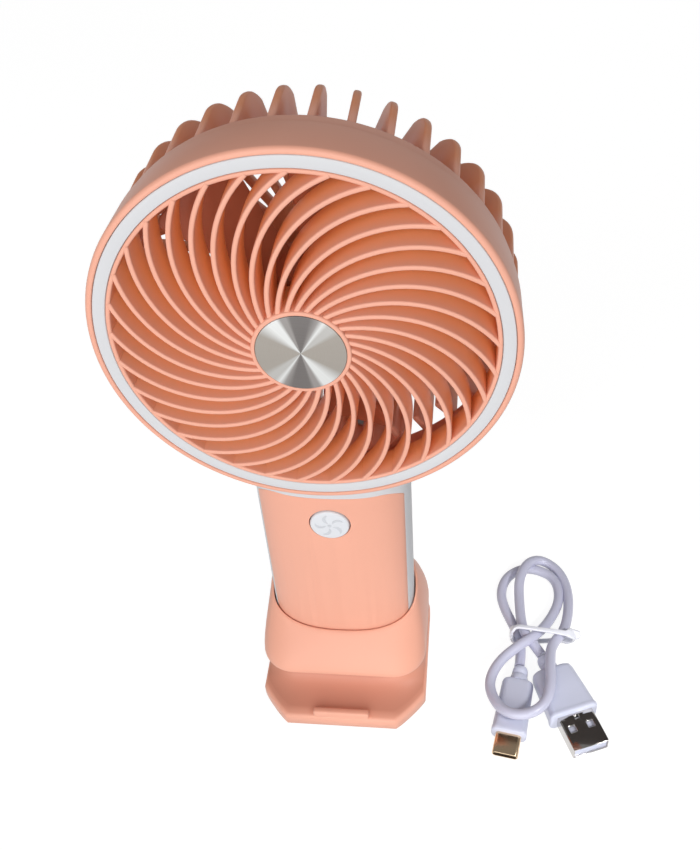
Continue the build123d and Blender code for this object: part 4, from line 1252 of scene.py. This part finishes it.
CAMERA_PLACE = Vector((40.173, -211.035, 309.148)) * MM
CAMERA_AIM = Vector((6.334, 0.0, 109.214)) * MM
CAMERA_ROLL = -0.08408
CAMERA_LENS = 44.13
FLOOR_SIZE, FLOOR_GLOW = 6.0, 0.88
WORLD_LIGHT = 0.25
# the areas' name, place, aim, side and power, in metres and watts
AREAS = (
    ("front", (-0.1, -1.3, 0.36), (0, 0, 0.11), 1.7, 27.0),
    ("back", (0.2, 1.4, 0.7), (0, 0, 0.11), 1.0, 1.5),
)
SPOT_PLACE, SPOT_AIM, SPOT_POWER, SPOT_ANGLE = (0.42, -0.22, 0.42), (0.066, 0.0, 0.0), 9.0, 13.0
CARD_PLACE, CARD_AIM, CARD_SIZE = (0.15, 0.42, 0.69), (0.075, -0.025, 0.006), 0.62


class FAN_OT_stage(bpy.types.Operator):
    """Sets the floor, the soft lights and the camera"""

    bl_idname = "fan.stage"
    bl_label = "Stage"

    def execute(self, context):
        self.camera(context)
        self.floor()
        self.lights(context)
        self.card()
        return {"FINISHED"}

    @staticmethod
    def camera(context):
        ahead = (CAMERA_AIM - CAMERA_PLACE).normalized()
        right = ahead.cross(Vector((0, 0, 1))).normalized()
        up = right.cross(ahead)
        c, s = math.cos(CAMERA_ROLL), math.sin(CAMERA_ROLL)
        matrix = Matrix((c * right + s * up, c * up - s * right, -ahead)).transposed().to_4x4()
        matrix.translation = CAMERA_PLACE
        bpy.ops.object.camera_add()
        camera = context.object
        camera.name = "camera"
        camera.matrix_world = matrix
        camera.data.lens = CAMERA_LENS
        camera.data.sensor_width = 36.0
        camera.data.clip_start = 0.01
        context.scene.camera = camera

    @staticmethod
    def floor():
        deselect()
        bpy.ops.mesh.primitive_plane_add(size=FLOOR_SIZE, location=(0, 0, 0))
        floor = bpy.context.object
        floor.name = "floor"
        recipe = Recipe("floor")
        cloud = recipe.noise(3.0)
        base = recipe.mix(cloud, (0.24, 0.24, 0.24, 1.0), (0.26, 0.26, 0.26, 1.0))
        white = (1, 1, 1, 1)
        recipe.finish(Base_Color=base, Roughness=0.9, Emission_Color=white, Emission_Strength=FLOOR_GLOW)
        floor.data.materials.append(recipe.material)
        floor.visible_diffuse = False

    def lights(self, context):
        world = bpy.data.worlds.new("studio")
        context.scene.world = world
        world.use_nodes = True
        world.node_tree.nodes["Background"].inputs["Color"].default_value = (1, 1, 1, 1)
        world.node_tree.nodes["Background"].inputs["Strength"].default_value = WORLD_LIGHT
        context.scene.view_settings.view_transform = "Standard"
        for name, place, aim, side, power in AREAS:
            bpy.ops.object.light_add(type="AREA", location=place)
            light = self.aimed(context.object, name, aim, power)
            light.data.size = side
        bpy.ops.object.light_add(type="SPOT", location=SPOT_PLACE)
        spot = self.aimed(context.object, "lead_light", SPOT_AIM, SPOT_POWER)
        spot.data.spot_size = math.radians(SPOT_ANGLE)
        spot.data.spot_blend = 0.5
        spot.data.shadow_soft_size = 0.06

    def card(self):
        """A dark board that shows only in reflections, mainly in the wide plug's bright metal."""
        deselect()
        bpy.ops.mesh.primitive_plane_add(size=CARD_SIZE, location=CARD_PLACE)
        card = bpy.context.object
        card.name = "card"
        matrix = (Vector(CARD_AIM) - card.location).to_track_quat("Z", "Y").to_matrix().to_4x4()
        matrix.translation = card.location
        placed(card, matrix)
        recipe = Recipe("card")
        base = recipe.mix(recipe.noise(4.0), (0.02, 0.014, 0.012, 1.0), (0.05, 0.035, 0.03, 1.0))
        recipe.finish(Base_Color=base)
        card.data.materials.append(recipe.material)
        for ray in ("camera", "diffuse", "transmission", "volume_scatter", "shadow"):
            setattr(card, f"visible_{ray}", False)

    @staticmethod
    def aimed(light, name, aim, power):
        light.name = name
        light.data.energy = power
        light.rotation_euler = (Vector(aim) - light.location).to_track_quat("-Z", "Y").to_euler()
        return light


# ---- add-on

OPERATORS = (
    FAN_OT_works, FAN_OT_plugs, FAN_OT_cord, FAN_OT_grille,
    FAN_OT_rim, FAN_OT_rear, FAN_OT_impeller, FAN_OT_handle,
    FAN_OT_button, FAN_OT_stand, FAN_OT_stage,
)


class FAN_PT_pieces(bpy.types.Panel):
    """Lists the pieces, the sizes and the colours"""

    bl_idname = "FAN_PT_pieces"
    bl_label = "Hand Fan"
    bl_space_type = "VIEW_3D"
    bl_region_type = "UI"
    bl_category = "Hand Fan"

    def draw(self, context):
        layout = self.layout
        for settings in (context.scene.fan_sizes, context.scene.fan_colours):
            box = layout.box()
            for name in settings.bl_rna.properties.keys():
                if name not in ("rna_type", "name"):
                    box.prop(settings, name)
        for operator in OPERATORS:
            layout.operator(operator.bl_idname)


CLASSES = (FanSizes, FanColours, *OPERATORS, FAN_PT_pieces)


def register():
    for item in CLASSES:
        bpy.utils.register_class(item)
    bpy.types.Scene.fan_sizes = PointerProperty(type=FanSizes)
    bpy.types.Scene.fan_colours = PointerProperty(type=FanColours)


def unregister():
    del bpy.types.Scene.fan_colours
    del bpy.types.Scene.fan_sizes
    for item in reversed(CLASSES):
        bpy.utils.unregister_class(item)


def main():
    register()
    for operator in OPERATORS:
        getattr(bpy.ops.fan, operator.bl_idname.split(".")[1])()


if __name__ == "__main__":
    main()
